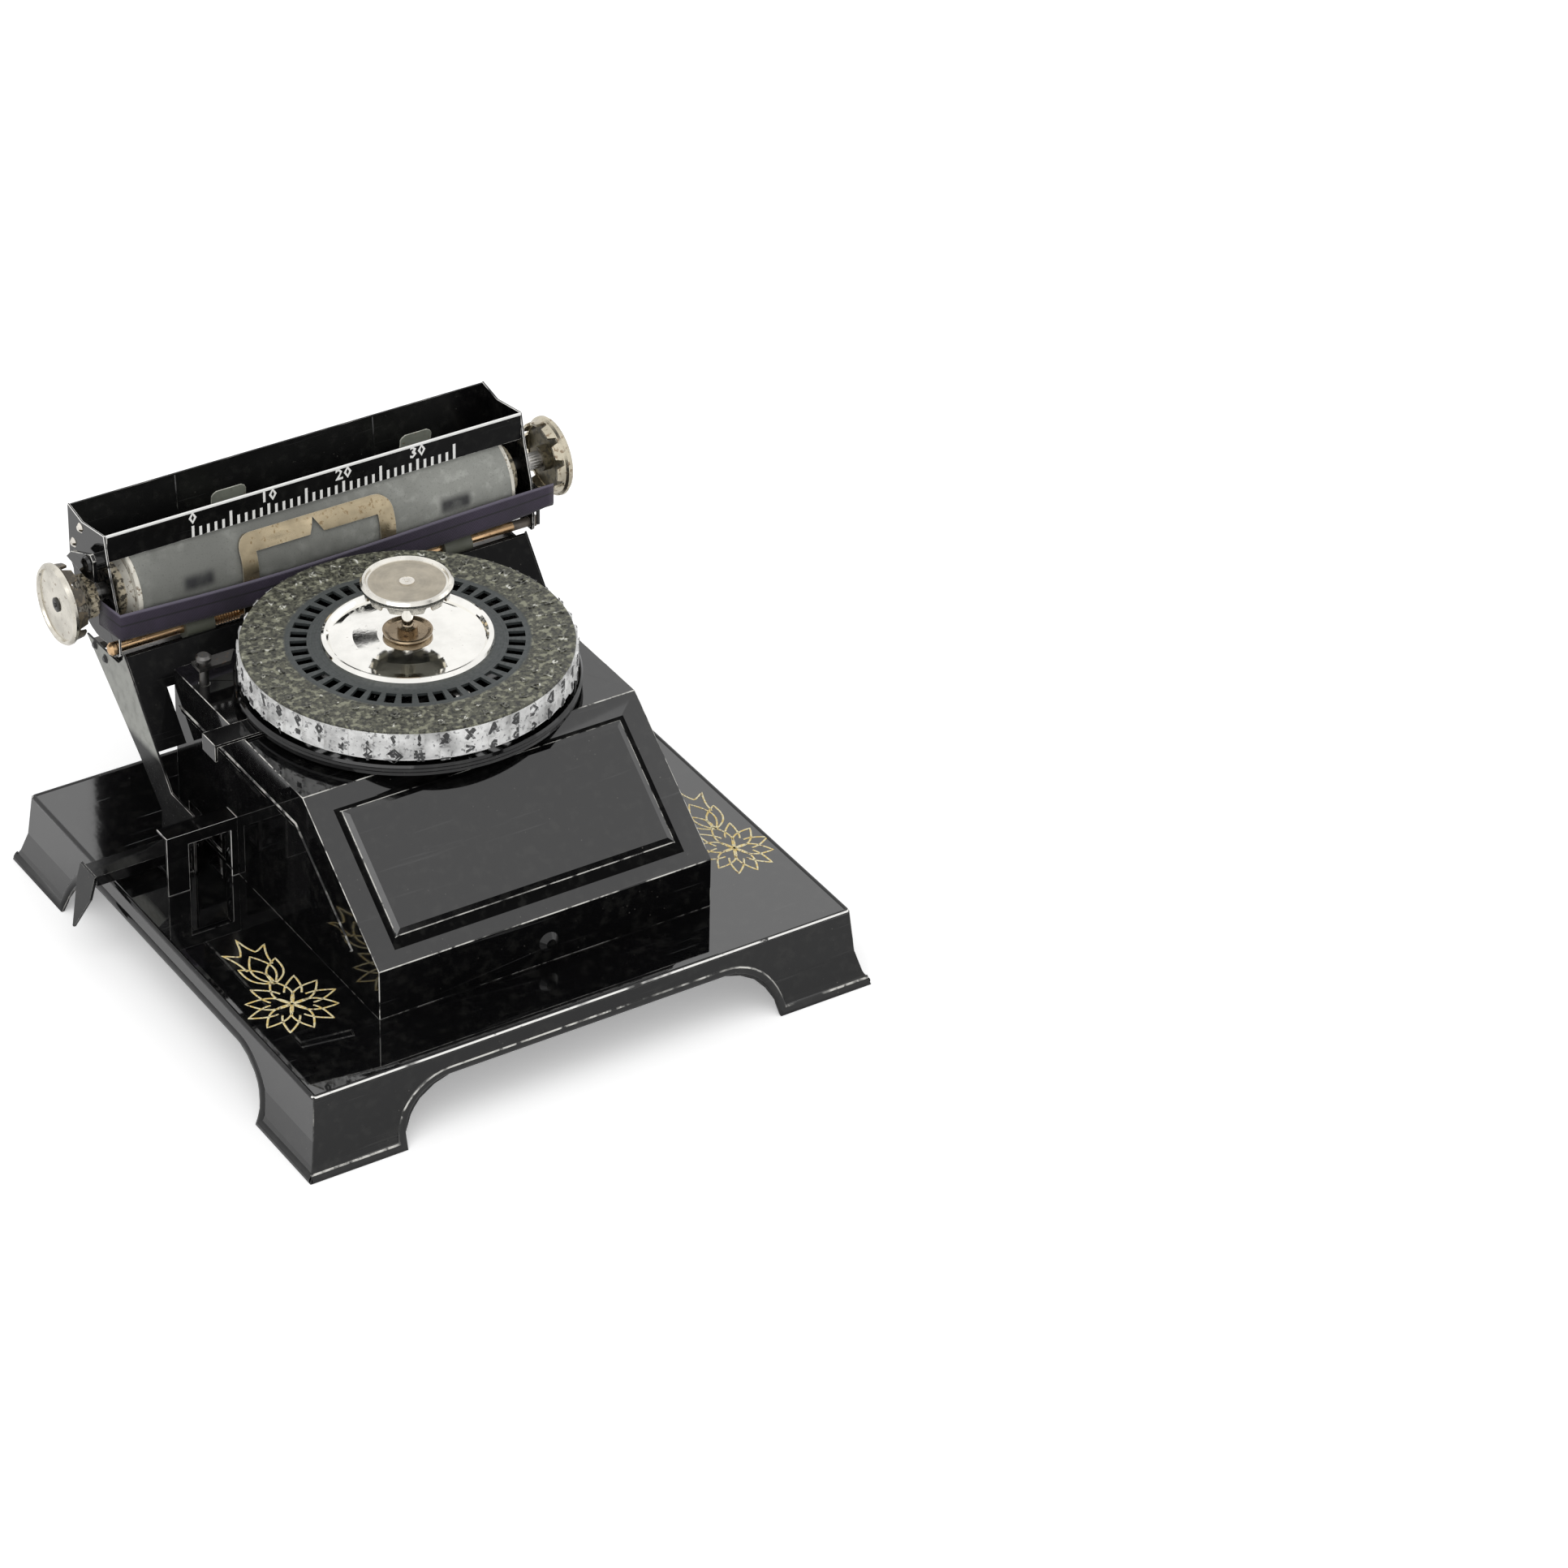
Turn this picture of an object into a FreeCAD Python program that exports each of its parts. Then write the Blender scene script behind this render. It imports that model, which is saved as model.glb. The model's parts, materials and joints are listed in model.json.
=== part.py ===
import FreeCAD, Part
import math
import MeshPart
import os
import Sketcher
from FreeCAD import Placement, Rotation, Vector

# Index typewriter: a pressed tin base and housing, a horizontal type wheel that is turned
# by a knob, a print lever, a shift slide and a carriage with a rubber platen.
# Frame: millimetres, +Z up, X to the right, Y to the back. The origin lies on the surface
# that the base stands on, under the centre of the base.

doc = FreeCAD.newDocument("IndexTypewriter")
sheet = doc.addObject("Spreadsheet::Sheet", "Sizes")


class Size:
    """A length that carries its value and its expression in the spreadsheet's words."""

    def __init__(self, value, text):
        self.value = float(value)
        self.text = text

    @staticmethod
    def of(other):
        return other if isinstance(other, Size) else Size(other, "(%.6g)" % other)

    def __add__(self, other):
        other = Size.of(other)
        return Size(self.value + other.value, "(%s + %s)" % (self.text, other.text))

    def __sub__(self, other):
        other = Size.of(other)
        return Size(self.value - other.value, "(%s - %s)" % (self.text, other.text))

    def __mul__(self, other):
        other = Size.of(other)
        return Size(self.value * other.value, "(%s * %s)" % (self.text, other.text))

    def __truediv__(self, other):
        other = Size.of(other)
        return Size(self.value / other.value, "(%s / %s)" % (self.text, other.text))

    def __neg__(self):
        return Size(0, "0") - self

    __radd__ = __add__
    __rmul__ = __mul__

    def __rsub__(self, other):
        return Size.of(other) - self


rows = [0]


def cell(name, value):
    """Store one driving dimension in the spreadsheet and return it as a Size."""
    rows[0] += 1
    sheet.set("A%d" % rows[0], name)
    sheet.set("B%d" % rows[0], "%.6g" % value)
    sheet.setAlias("B%d" % rows[0], name)
    return Size(value, "Sizes." + name)


def root(size):
    """The square root of a Size."""
    return Size(math.sqrt(size.value), "sqrt(%s)" % size.text)


def bind(obj, prop, size):
    """Tie a property to the spreadsheet."""
    size = Size.of(size)
    obj.setExpression(prop, size.text)


def polar(radius, degrees):
    """The two coordinates of a point on a circle about zero."""
    return (radius * math.cos(math.radians(degrees)), radius * math.sin(math.radians(degrees)))


# ---------------------------------------------------------------- driving dimensions
base_half_x = cell("base_half_x", 100)
base_half_y = cell("base_half_y", 98)
base_flare = cell("base_flare", 5.3)
base_back_flare = cell("base_back_flare", 6.6)
base_top = cell("base_top", 27.8)
base_sheet = cell("base_sheet", 1.0)
arch_rise = cell("arch_rise", 19.5)
arch_front = cell("arch_front", 70)
arch_side = cell("arch_side", 68)

house_half = cell("house_half", 62)
house_front = cell("house_front", -72.6)
house_knee = cell("house_knee", 46.4)
house_brow = cell("house_brow", -24)
house_top = cell("house_top", 85)
house_back = cell("house_back", 64)
tin = cell("tin", 0.8)

wheel_y = cell("wheel_y", 17)
wheel_radius = cell("wheel_radius", 55)
wheel_low = cell("wheel_low", 91)
wheel_high = cell("wheel_high", 102.5)
type_proud = cell("type_proud", 0.9)
row_step = cell("row_step", 5.5)
dome_radius = cell("dome_radius", 28.6)
tray_reach = cell("tray_reach", 2.2)
tray_radius = wheel_radius + tray_reach
knob_radius = cell("knob_radius", 15.3)
knob_rise = cell("knob_rise", 22.8)
knob_top = wheel_high + knob_rise
spindle_radius = cell("spindle_radius", 3)
run_fit = cell("run_fit", 0.06)

rocker_inset = cell("rocker_inset", 4.5)
rocker_x = rocker_inset - house_half
rocker_y = cell("rocker_y", 51)
crank_reach = cell("crank_reach", 24)

side_mid = cell("side_mid", 2.4)
side_half = cell("side_half", 76.9)
carriage_mid = cell("carriage_mid", 4.5)
carriage_half = cell("carriage_half", 79.2)
print_gap = cell("print_gap", 20)
platen_y = wheel_y + wheel_radius + print_gap
platen_z = cell("platen_z", 103.5)
platen_radius = cell("platen_radius", 15)
platen_half = cell("platen_half", 70)
shaft_radius = cell("shaft_radius", 3)
platen_knob = cell("platen_knob", 14.1)
platen_knob_face = cell("platen_knob_face", 95)
rod_fore = cell("rod_fore", 11.2)
rod_radius = cell("rod_radius", 1.7)
roller_radius = cell("roller_radius", 4)
roller_gap = cell("roller_gap", 0.3)
roller_reach = platen_radius + roller_radius + roller_gap
rod_y = platen_y - rod_fore
rod_z = platen_z - root(roller_reach * roller_reach - rod_fore * rod_fore)
ruler_rise = cell("ruler_rise", 14.7)
ruler_width = cell("ruler_width", 10)
ruler_low = platen_z + ruler_rise
ruler_high = ruler_low + ruler_width
ribbon_gap = cell("ribbon_gap", 1.45)
ribbon_y = platen_y - platen_radius - ribbon_gap
ribbon_drop = cell("ribbon_drop", 9.3)
ribbon_low = platen_z - ribbon_drop
ribbon_width = cell("ribbon_width", 9.6)
aligner_half = cell("aligner_half", 29)
slot_count = 42


# ---------------------------------------------------------------- building helpers
def new_body(label, at=(0, 0, 0), turn=None):
    """A PartDesign body whose placement follows the spreadsheet."""
    body = doc.addObject("PartDesign::Body", label)
    body.Label = label
    body.AllowCompound = True
    if turn is not None:
        body.Placement = Placement(Vector(0, 0, 0), turn)
    for axis, value in zip("xyz", at):
        if isinstance(value, Size) or value != 0:
            bind(body, "Placement.Base." + axis, value)
    return body


def new_sketch(body, role, offset, loops, rotation=None, shift=None):
    """A sketch of closed loops on one of the body's origin planes.

    A loop is a list of corner points, or a tuple ("ring", x, y, radius) for a circle.
    """
    sk = body.newObject("Sketcher::SketchObject", body.Label + "_sketch")
    sk.AttachmentSupport = ([f for f in body.Origin.OriginFeatures if f.Role == role][0], [""])
    sk.MapMode = "FlatFace"
    offset = Size.of(offset)
    if rotation is not None:
        sk.AttachmentOffset = Placement(Vector(0, 0, 0), Rotation(Vector(1, 0, 0), rotation.value))
        bind(sk, "AttachmentOffset.Rotation.Angle", rotation)
        bind(sk, "AttachmentOffset.Base.y", shift[0])
        bind(sk, "AttachmentOffset.Base.z", shift[1])
    else:
        bind(sk, "AttachmentOffset.Base.z", offset)
    shapes, links, ties = [], [], []
    for loop in loops:
        first = len(shapes)
        if isinstance(loop, tuple):
            x, y, radius = [Size.of(v) for v in loop[1:]]
            shapes.append(Part.Circle(Vector(x.value, y.value, 0), Vector(0, 0, 1), radius.value))
            ties += [("DistanceX", first, 3, x), ("DistanceY", first, 3, y), ("Radius", first, 0, radius)]
            continue
        pts = [(Size.of(px), Size.of(py)) for px, py in loop]
        count = len(pts)
        for i in range(count):
            a, b = pts[i], pts[(i + 1) % count]
            shapes.append(Part.LineSegment(Vector(a[0].value, a[1].value, 0),
                                           Vector(b[0].value, b[1].value, 0)))
            links.append(Sketcher.Constraint("Coincident", first + i, 2, first + (i + 1) % count, 1))
            ties += [("DistanceX", first + i, 1, a[0]), ("DistanceY", first + i, 1, a[1])]
    sk.addGeometry(shapes, False)
    base = len(links)
    for kind, geo, pos, size in ties:
        if kind == "Radius":
            links.append(Sketcher.Constraint("Radius", geo, size.value))
        else:
            links.append(Sketcher.Constraint(kind, -1, 1, geo, pos, size.value))
    sk.addConstraint(links)
    for i, (kind, geo, pos, size) in enumerate(ties):
        if "Sizes." in size.text:
            sk.setExpression("Constraints[%d]" % (base + i), size.text)
    return sk


PLANES = {"xy": "XY_Plane", "xz": "XZ_Plane", "yz": "YZ_Plane"}


def pad(body, plane, loops, low, high):
    """Add material between two heights along the plane's own axis (Z, Y or X)."""
    low, high = Size.of(low), Size.of(high)
    sk = new_sketch(body, PLANES[plane], -high if plane == "xz" else low, loops)
    f = body.newObject("PartDesign::Pad", body.Label + "_pad")
    f.Profile = sk
    bind(f, "Length", high - low)
    return f


def cut(body, plane, loops, low, high):
    """Remove material between two heights along the plane's own axis (Z, Y or X)."""
    low, high = Size.of(low), Size.of(high)
    sk = new_sketch(body, PLANES[plane], -high if plane == "xz" else low, loops)
    f = body.newObject("PartDesign::Pocket", body.Label + "_cut")
    f.Profile = sk
    f.Reversed = True
    bind(f, "Length", high - low)
    return f


def turned(body, axis, loops, angle=360):
    """Turn a profile about the body's Z axis (points r, z) or X axis (points x, r)."""
    sk = new_sketch(body, "XZ_Plane" if axis == "z" else "XY_Plane", 0, loops)
    f = body.newObject("PartDesign::Revolution", body.Label + "_turned")
    f.Profile = sk
    f.ReferenceAxis = (sk, ["V_Axis" if axis == "z" else "H_Axis"])
    f.Angle = angle
    return f


def around(body, feature, axis_role, count):
    """Repeat a feature evenly about one of the body's axes."""
    f = body.newObject("PartDesign::PolarPattern", body.Label + "_round")
    f.Originals = [feature]
    axis = [a for a in body.Origin.OriginFeatures if a.Role == axis_role][0]
    f.Axis = (axis, [""])
    f.Angle = 360
    f.Occurrences = count
    body.Tip = f
    return f


def on_platen(points):
    """Points given as offsets from the platen's axis, in the YZ plane."""
    return [(platen_y + dy, platen_z + dz) for dy, dz in points]


def rect(x0, x1, y0, y1):
    return [(x0, y0), (x1, y0), (x1, y1), (x0, y1)]


def ring(x, y, radius):
    return ("ring", x, y, radius)


nodes = []


def node(obj):
    nodes.append(obj)
    return obj


def rivets(label, groups, head, depth):
    """Dome-headed rivets: a group is a list of spots where a head meets its sheet, and the
    way that its heads point."""
    shapes = []
    for spot, direction in [(spot, way) for spots, way in groups for spot in spots]:
        one = Part.makeCone(head, head * 0.5, head * 0.5)
        if depth > 0:
            one = one.fuse(Part.makeCylinder(head * 0.5, depth, Vector(0, 0, -depth)))
        one.Placement = Placement(Vector(*spot), Rotation(Vector(0, 0, 1), Vector(*direction)))
        shapes.append(one)
    obj = doc.addObject("Part::Feature", label)
    obj.Label = label
    obj.Shape = Part.makeCompound(shapes) if len(shapes) > 1 else shapes[0]
    return obj


# ---------------------------------------------------------------- base tray
# One pressed sheet: a flat top with flared skirts, an arch between the feet on every side.
b = node(new_body("base_tray"))
tiers = [(0, 1.0), (4.5, 0.62), (12, 0.26), (None, 0.0)]


def skirt(inset, top, first):
    out = []
    for height, share in tiers:
        level = top if height is None else Size.of(first if height == 0 else height)
        hx = base_half_x + base_flare * share - inset
        hy = base_half_y + base_back_flare * share - inset
        out.append(new_sketch(b, "XY_Plane", level, [rect(-hx, hx, -hy, hy)]))
    return out


for kind, inset, top, first in (("Additive", Size.of(0), base_top, 0),
                                ("Subtractive", base_sheet, base_top - base_sheet, 0)):
    sections = skirt(inset, top, first)
    loft = b.newObject("PartDesign::%sLoft" % kind, "base_%s" % kind.lower())
    loft.Profile = sections[0]
    loft.Sections = sections[1:]
    loft.Ruled = True


def arch(half):
    side = [(half, -1), (half - 0.8, arch_rise * 0.26), (half - 3.5, arch_rise * 0.51),
            (half - 7.5, arch_rise * 0.74), (half - 13, arch_rise * 0.91), (half - 19, arch_rise)]
    return side + [(-x, y) for x, y in reversed(side)]


cut(b, "xz", [arch(arch_front)], -130, 130)
cut(b, "yz", [arch(arch_side)], -130, 130)

# ---------------------------------------------------------------- housing
# One folded sheet over the works, open below and behind, with a raised name panel left
# bare on its sloping front and a pressed bead along each side wall.
b = node(new_body("housing"))
outer = [(house_front, base_top), (house_back, base_top), (house_back, house_top),
         (house_brow, house_top), (house_front, house_knee)]
inner = [(house_front + tin, base_top - 1), (house_back + 1, base_top - 1),
         (house_back + 1, house_top - tin), (house_brow + tin * 0.34, house_top - tin),
         (house_front + tin, house_knee - tin * 0.34)]
pad(b, "yz", [outer], -house_half, house_half)
cut(b, "yz", [inner], tin - house_half, house_half - tin)
run = house_brow - house_front
rise = house_top - house_knee
slope_angle = Size(math.degrees(math.atan2(rise.value, run.value)), "atan(%s / %s)" % (rise.text, run.text))
panel = []
for grow, lift in ((0, -0.1), (0.6, 1.3), (2.6, 1.8)):
    turn = math.radians(slope_angle.value)
    panel.append(new_sketch(b, "XY_Plane", 0, [rect(-52.5 + grow, 52.5 - grow, 8.5 + grow, 54.3 - grow)],
                            rotation=slope_angle,
                            shift=(house_front - lift * math.sin(turn), house_knee + lift * math.cos(turn))))
loft = b.newObject("PartDesign::AdditiveLoft", "name_panel")
loft.Profile = panel[0]
loft.Sections = panel[1:]
loft.Ruled = True
bead = [(house_back - 3, house_top - 14.2), (house_brow + 5.4, house_top - 14.2), (house_front + 18.5, house_knee - 3.2),
        (house_front + 17.2, house_knee - 1.8), (house_brow + 4.7, house_top - 12.6), (house_back - 3, house_top - 12.6)]
pad(b, "yz", [bead], -house_half - 0.4, -house_half)
pad(b, "yz", [bead], house_half, house_half + 0.4)
feet = []
for fx in (-1, 1):
    for fy in (-64, 12):
        a, c = (fx * (house_half - tin), fx * (house_half - 12))
        feet.append(rect(a, c, fy, fy + 12) if fx < 0 else rect(c, a, fy, fy + 12))
pad(b, "xy", feet, base_top, base_top + tin)
cut(b, "yz", [rect(rocker_y - 17, rocker_y + 5.5, base_top + 1.6, base_top + 8.8)],
    -house_half - 0.6, -house_half + tin + 0.4)
spots = [polar(40, a) for a in (58, 302, 148)]
holes = [ring(x, wheel_y + y, 1.65) for x, y in spots]
cut(b, "xy", [rect(-3.5, 3.5, wheel_y - 3.5, wheel_y + 5.9)] + holes
    + [ring(rocker_x, rocker_y, 1.7 + run_fit)], house_top - tin - 0.5, house_top + 0.5)
cut(b, "xz", [ring(0.5, 35.9, 1.8)], house_front - 1, house_front + tin + 1)

node(rivets("front_screw", [([(0.5, house_front.value, 35.9)], (0, -1, 0))], 3.5, 2.2))

# ---------------------------------------------------------------- wheel tray
b = node(new_body("wheel_tray", (0, wheel_y, 0)))
tr = tray_radius
turned(b, "z", [[(19, 87.2), (tr - 2.2, 87.2), (tr - 1.5, 86.7), (tr - 0.3, 86.8), (tr - 0.4, 87.8),
                 (tr, 88.4), (tr - 0.4, 89.1), (tr + 0.1, 89.8), (tr - 0.5, 90.6), (tr - 1.1, 90.2),
                 (tr - 1.1, 88.3), (tr - 1.6, 87.8), (19, 87.8)]])
cut(b, "xy", [ring(x, y, 1.65) for x, y in spots], 86, 89)
b = node(new_body("tray_rivets", (0, wheel_y, 0)))
pad(b, "xy", [ring(x, y, 3.0) for x, y in spots], house_top, 87.2)
pad(b, "xy", [ring(x, y, 1.6) for x, y in spots], house_top - tin - 0.6, 87.9)
pad(b, "xy", [ring(x, y, 3.2) for x, y in spots], 87.8, 88.6)

# ---------------------------------------------------------------- wheel slide and lift
b = node(new_body("wheel_slide"))
ear_x = rocker_x + crank_reach
pad(b, "xy", [[(-22, -8), (22, -8), (22, 44), (-20, rocker_y + 5), (ear_x - 3.5, rocker_y + 5),
               (ear_x - 3.5, rocker_y - 6), (-22, 36)]], house_top - 2.7, house_top - 1.2)
pad(b, "xy", [ring(0, wheel_y, 6)], 68, house_top - 2.7)
cut(b, "xy", [ring(0, wheel_y, spindle_radius + run_fit)], 67, house_top)
cut(b, "xy", [rect(ear_x - 2.0, ear_x + 2.0, rocker_y - 1.6, rocker_y + 1.6)], 80, house_top)
b = node(new_body("slide_guides"))
for s in (-1, 1):
    pts = [(22.3, 84.2), (22.3, 82.0), (19.8, 82.0), (19.8, 80.8), (24.3, 80.8), (24.3, 84.2)]
    pad(b, "xz", [[(s * x, z) for x, z in pts]], -10, 31)

b = node(new_body("lift_spindle", (0, wheel_y, 0)))
sr = spindle_radius
turned(b, "z", [[(0, 66), (sr, 66), (sr, 87), (7.5, 87), (7.5, 89), (sr, 89), (sr, 100.5), (0, 100.5)]])
b = node(new_body("detent_spring", (0, wheel_y, 0)))
pad(b, "yz", [[(-5.8, 89), (-5.8, 89.6), (-7.4, 89.6), (-30, 99.8), (-35.8, 101.2), (-37.5, 100.6),
               (-37.5, 100.0), (-35.8, 100.6), (-30, 99.2), (-7.6, 89.0)]], -2.5, 2.5)

b = node(new_body("shift_slide", (0, wheel_y, 0)))
tab_x = -72
pad(b, "xy", [[(tab_x, -2.5), (-14, -2.5), (-14, -7.5), (14.5, -7.5), (14.5, -3.5), (-4, -3.5), (-4, 3.5),
               (14.5, 3.5), (14.5, 7.5), (-14, 7.5), (-14, 6.5), (tab_x, 6.5)]], house_top + 0.4, house_top + 1.4)
wedge = [(5.9, house_top + 1.4), (5.9 + row_step + 0.5, house_top + 1.9 + row_step),
         (14.5, house_top + 1.9 + row_step), (14.5, house_top + 1.4)]
pad(b, "xz", [wedge], 4, 7)
pad(b, "xz", [wedge], -7, -4)
pad(b, "xy", [rect(tab_x - 0.9, tab_x, -2.5, 6.5)], house_top - 5.0, house_top + 1.4)

# ---------------------------------------------------------------- type wheel
b = node(new_body("wheel_hub", (0, wheel_y, 0)))
hb = spindle_radius + run_fit
turned(b, "z", [[(hb, 89.1), (5.5, 89.1), (5.5, 99.6), (20, 99.6), (20, wheel_high - 1), (0, wheel_high - 1),
                 (0, 100.7), (hb, 100.7)]])
b = node(new_body("index_disc", (0, wheel_y, 0)))
turned(b, "z", [[(2.1, wheel_high - 1), (wheel_radius, wheel_high - 1), (wheel_radius, wheel_high - 0.3),
                 (wheel_radius - 0.3, wheel_high), (2.1, wheel_high)]])
slot = cut(b, "xy", [rect(33, 38.5, -1.7, 1.7)], wheel_high - 2, wheel_high + 1)
around(b, slot, "Z_Axis", slot_count)
b = node(new_body("type_band", (0, wheel_y, 0)))
band_top = wheel_high - 1
turned(b, "z", [[(wheel_radius - 1.8, wheel_low), (wheel_radius - 0.4, wheel_low), (wheel_radius, wheel_low + 0.4),
                 (wheel_radius, band_top), (wheel_radius - 1.8, band_top)]])
low_row = wheel_low + 1.3
types = pad(b, "xz", [rect(-1.7, 1.7, low_row, low_row + 3.6),
                      rect(-1.7, 1.7, low_row + row_step, low_row + row_step + 3.6)],
            -wheel_radius - type_proud, 0.3 - wheel_radius)
around(b, types, "Z_Axis", slot_count)
b = node(new_body("hub_dome", (0, wheel_y, 0)))
dr = dome_radius
wh = wheel_high
turned(b, "z", [[(2.1, wh), (dr, wh), (dr, wh + 1.2), (dr - 0.4, wh + 2.0), (dr - 1.2, wh + 2.3), (dr - 2.0, wh + 2.1),
                 (dr - 2.7, wh + 1.3), (dr - 3.1, wh + 0.8), (dr - 5.6, wh + 1.2), (18, wh + 1.7), (10, wh + 2.1),
                 (2.1, wh + 2.2)]])
b = node(new_body("hub_collar", (0, wheel_y, 0)))
turned(b, "z", [[(2.0, wh + 2.25), (7.2, wh + 2.25), (8.1, wh + 2.9), (8.3, wh + 3.8), (7.7, wh + 3.9),
                 (6.6, wh + 3.2), (3.4, wh + 3.0), (3.2, wh + 5.2), (2.0, wh + 5.5)]])
b = node(new_body("selector_stem", (0, wheel_y, 0)))
turned(b, "z", [[(0, wh - 1), (1.9, wh - 1), (1.9, knob_top - 1.9), (0, knob_top - 1.9)]])


def knob(label, at, turn, radius, bore, skirt, hub, lobes):
    """A stamped cap knob: rolled rim, sunk face, a boss and a skirt cut into rounded lobes."""
    k = node(new_body(label, at, turn))
    r = radius
    turned(k, "z", [[(0, -0.8), (r - 2.0, -0.8), (r - 1.6, 0), (r - 0.7, 0), (r, -0.9), (r - 0.1, -1.9),
                     (r - 0.9, -2.6), (r - 1.3, -skirt), (r - 2.2, -skirt), (r - 1.9, -2.6), (hub, -2.6),
                     (hub, -skirt), (bore, -skirt), (bore, -1.8), (0, -1.8)]])
    notch = cut(k, "yz", [[(-0.9, -3.0), (0.9, -3.0), (1.8, -skirt - 0.3), (-1.8, -skirt - 0.3)]], r - 3.5, r + 1)
    around(k, notch, "Z_Axis", lobes)
    return k


knob("selector_knob", (0, wheel_y, knob_top), None, knob_radius, 1.95, 5.0, 2.9, 12)
b = node(new_body("selector_screw", (0, wheel_y, knob_top)))
turned(b, "z", [[(0, -0.8), (2.5, -0.8), (2.5, -0.4), (1.6, -0.1), (0.9, -0.1), (0.7, 0.3), (0, 0.4)]])

# ---------------------------------------------------------------- print lever and rocker
b = node(new_body("print_lever", (rocker_x, rocker_y, base_top)))
lever_low, lever_high = -15.0, -6.5
lever_end = -49.5
pad(b, "xy", [[(4.2, -4.2), (4.2, 4.2), (-3.2, 4.4), (-6.5, 1.5), (-12, lever_high), (lever_end, lever_high),
               (lever_end, lever_low), (-12, lever_low), (-6, -10), (-1, -5.2)]], 5.4, 6.4)
pad(b, "xy", [rect(lever_end, -14.5, lever_low, lever_low + 0.9)], 2.6, 5.4)
pad(b, "xz", [[(lever_end + 0.2, 6.4), (lever_end - 0.7, 6.2), (lever_end - 6.4, -14.8), (lever_end - 5.5, -15.0),
               (lever_end + 0.2, 5.4)]], lever_low, -4.6)
cut(b, "yz", [[(lever_low - 1, -2), (lever_low, -2), (-8.6, -16), (lever_low - 1, -16)],
              [(-3.6, 1), (-4.6, 1), (-8.6, -16), (-3.6, -16)]], lever_end - 8, lever_end - 0.4)
cut(b, "xy", [ring(0, 0, 2.52)], 5, 7)
b = node(new_body("rocker_shaft", (rocker_x, rocker_y, 0)))
post = wheel_low + 3.4
turned(b, "z", [[(0, base_top + 1), (2.5, base_top + 1), (2.5, house_top - 1), (1.7, house_top - 1), (1.7, post),
                 (2.7, post), (2.7, post + 1), (1.9, post + 1.8), (0, post + 1.8)]])
b = node(new_body("rocker_arm", (rocker_x, rocker_y, 0)))
pad(b, "xy", [[(-2.8, -3.2), (crank_reach, -3), (crank_reach + 3, 0), (crank_reach, 3), (-2.8, 3.2)]], 79, 80.6)
pad(b, "xy", [ring(crank_reach, 0, 1.5)], 80.6, 84.0)
cut(b, "xy", [ring(0, 0, 2.52)], 78, 81)
b = node(new_body("locking_arm", (rocker_x, rocker_y, 0)))
clear_of_types = wheel_radius + type_proud + 2.1


def tip(dy):
    """How far the locking arm reaches along X at an offset from its pivot, clear of the types."""
    across = rocker_y - wheel_y + dy
    return house_half - rocker_inset - root(clear_of_types * clear_of_types - across * across)


pad(b, "xy", [[(-3, -3), (tip(-3), -3), (tip(3), 3), (-3, 3)]], wheel_low + 0.6, wheel_low + 1.8)
cut(b, "xy", [ring(0, 0, 1.72)], wheel_low, wheel_low + 2)
b = node(new_body("lever_spring", (rocker_x, rocker_y, 0)))
coil_low = base_top + 8.2
coil = [(2.55, coil_low)]
for i in range(5):
    coil += [(2.8, coil_low + 2 * i), (3.4, coil_low + 0.6 + 2 * i), (2.8, coil_low + 1.8 + 2 * i)]
coil += [(2.55, coil_low + 10)]
turned(b, "z", [coil])
b = node(new_body("rocker_bearing", (rocker_x, rocker_y, 0)))
turned(b, "z", [[(0, base_top), (3.5, base_top), (3.5, 31.4), (2.5 + run_fit, 31.4), (2.5 + run_fit, 28.75),
                 (0, 28.75)]])

# ---------------------------------------------------------------- lever guard
b = node(new_body("lever_guard"))
gx = house_half
pad(b, "xz", [[(-gx, base_top), (-gx, 50.5), (-88, 50.5), (-88, base_top), (-80, base_top), (-80, 46), (-gx - 2.5, 46),
               (-gx - 2.5, base_top)]], 22, 22.8)
pad(b, "xy", [rect(-88, -gx, 22.8, 29)], 49.7, 50.5)
pad(b, "xy", [rect(-gx - 0.8, -gx, 22.8, 30)], base_top, 49.7)

# ---------------------------------------------------------------- carriage support
side_left = side_mid - side_half
side_right = side_mid + side_half
side_plate = ([(29.3, base_top), (52, base_top), (52, 40), (66.5, 53.2)]
              + on_platen([(10.5, -21.7), (-12.5, -20.9), (-15.6, -17.9), (-16.4, -15.5)]) + [(44.5, 51), (29.3, 51)])
for label, x0, x1, foot in (("support_side_left", side_left, side_left + tin, -1),
                            ("support_side_right", side_right - tin, side_right, 1)):
    b = node(new_body(label))
    pad(b, "yz", [side_plate], x0, x1)
    if foot < 0:
        pad(b, "xy", [rect(side_left - 8, side_left, 30, 51)], base_top, base_top + tin)
        cut(b, "yz", [rect(31.6, 47, base_top + 1.4, base_top + 8.8)], x0 - 1, x1 + 1)
    else:
        pad(b, "xy", [rect(side_right, side_right + 8, 30, 51)], base_top, base_top + tin)
b = node(new_body("support_web"))
web = ([(53.7, 62)] + on_platen([(-17.2, -16.4), (-16, -16.4), (-16, -21.5), (-16.8, -21.5), (-16.8, -17.2),
                                 (-16.83, -17.2)]) + [(54.32, 61.5)])
pad(b, "yz", [web], side_left + tin, side_right - tin)
cut(b, "xz", [rect(-63.5, 63.5, 58, 77)], 45, 80)
b = node(new_body("carriage_rail"))
pad(b, "yz", [on_platen(rect(-6, 0, -26, -23))], side_left + tin, side_right - tin)
b = node(new_body("rear_tie"))
pad(b, "yz", [on_platen(rect(3, 6.6, -24.5, -21.7))], side_left + tin, side_right - tin)
foot_z = base_top.value + tin.value
rail_ends = [(y.value, z.value) for y, z in on_platen([(-3, -24.5), (4.4, -23.1)])]
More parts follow.
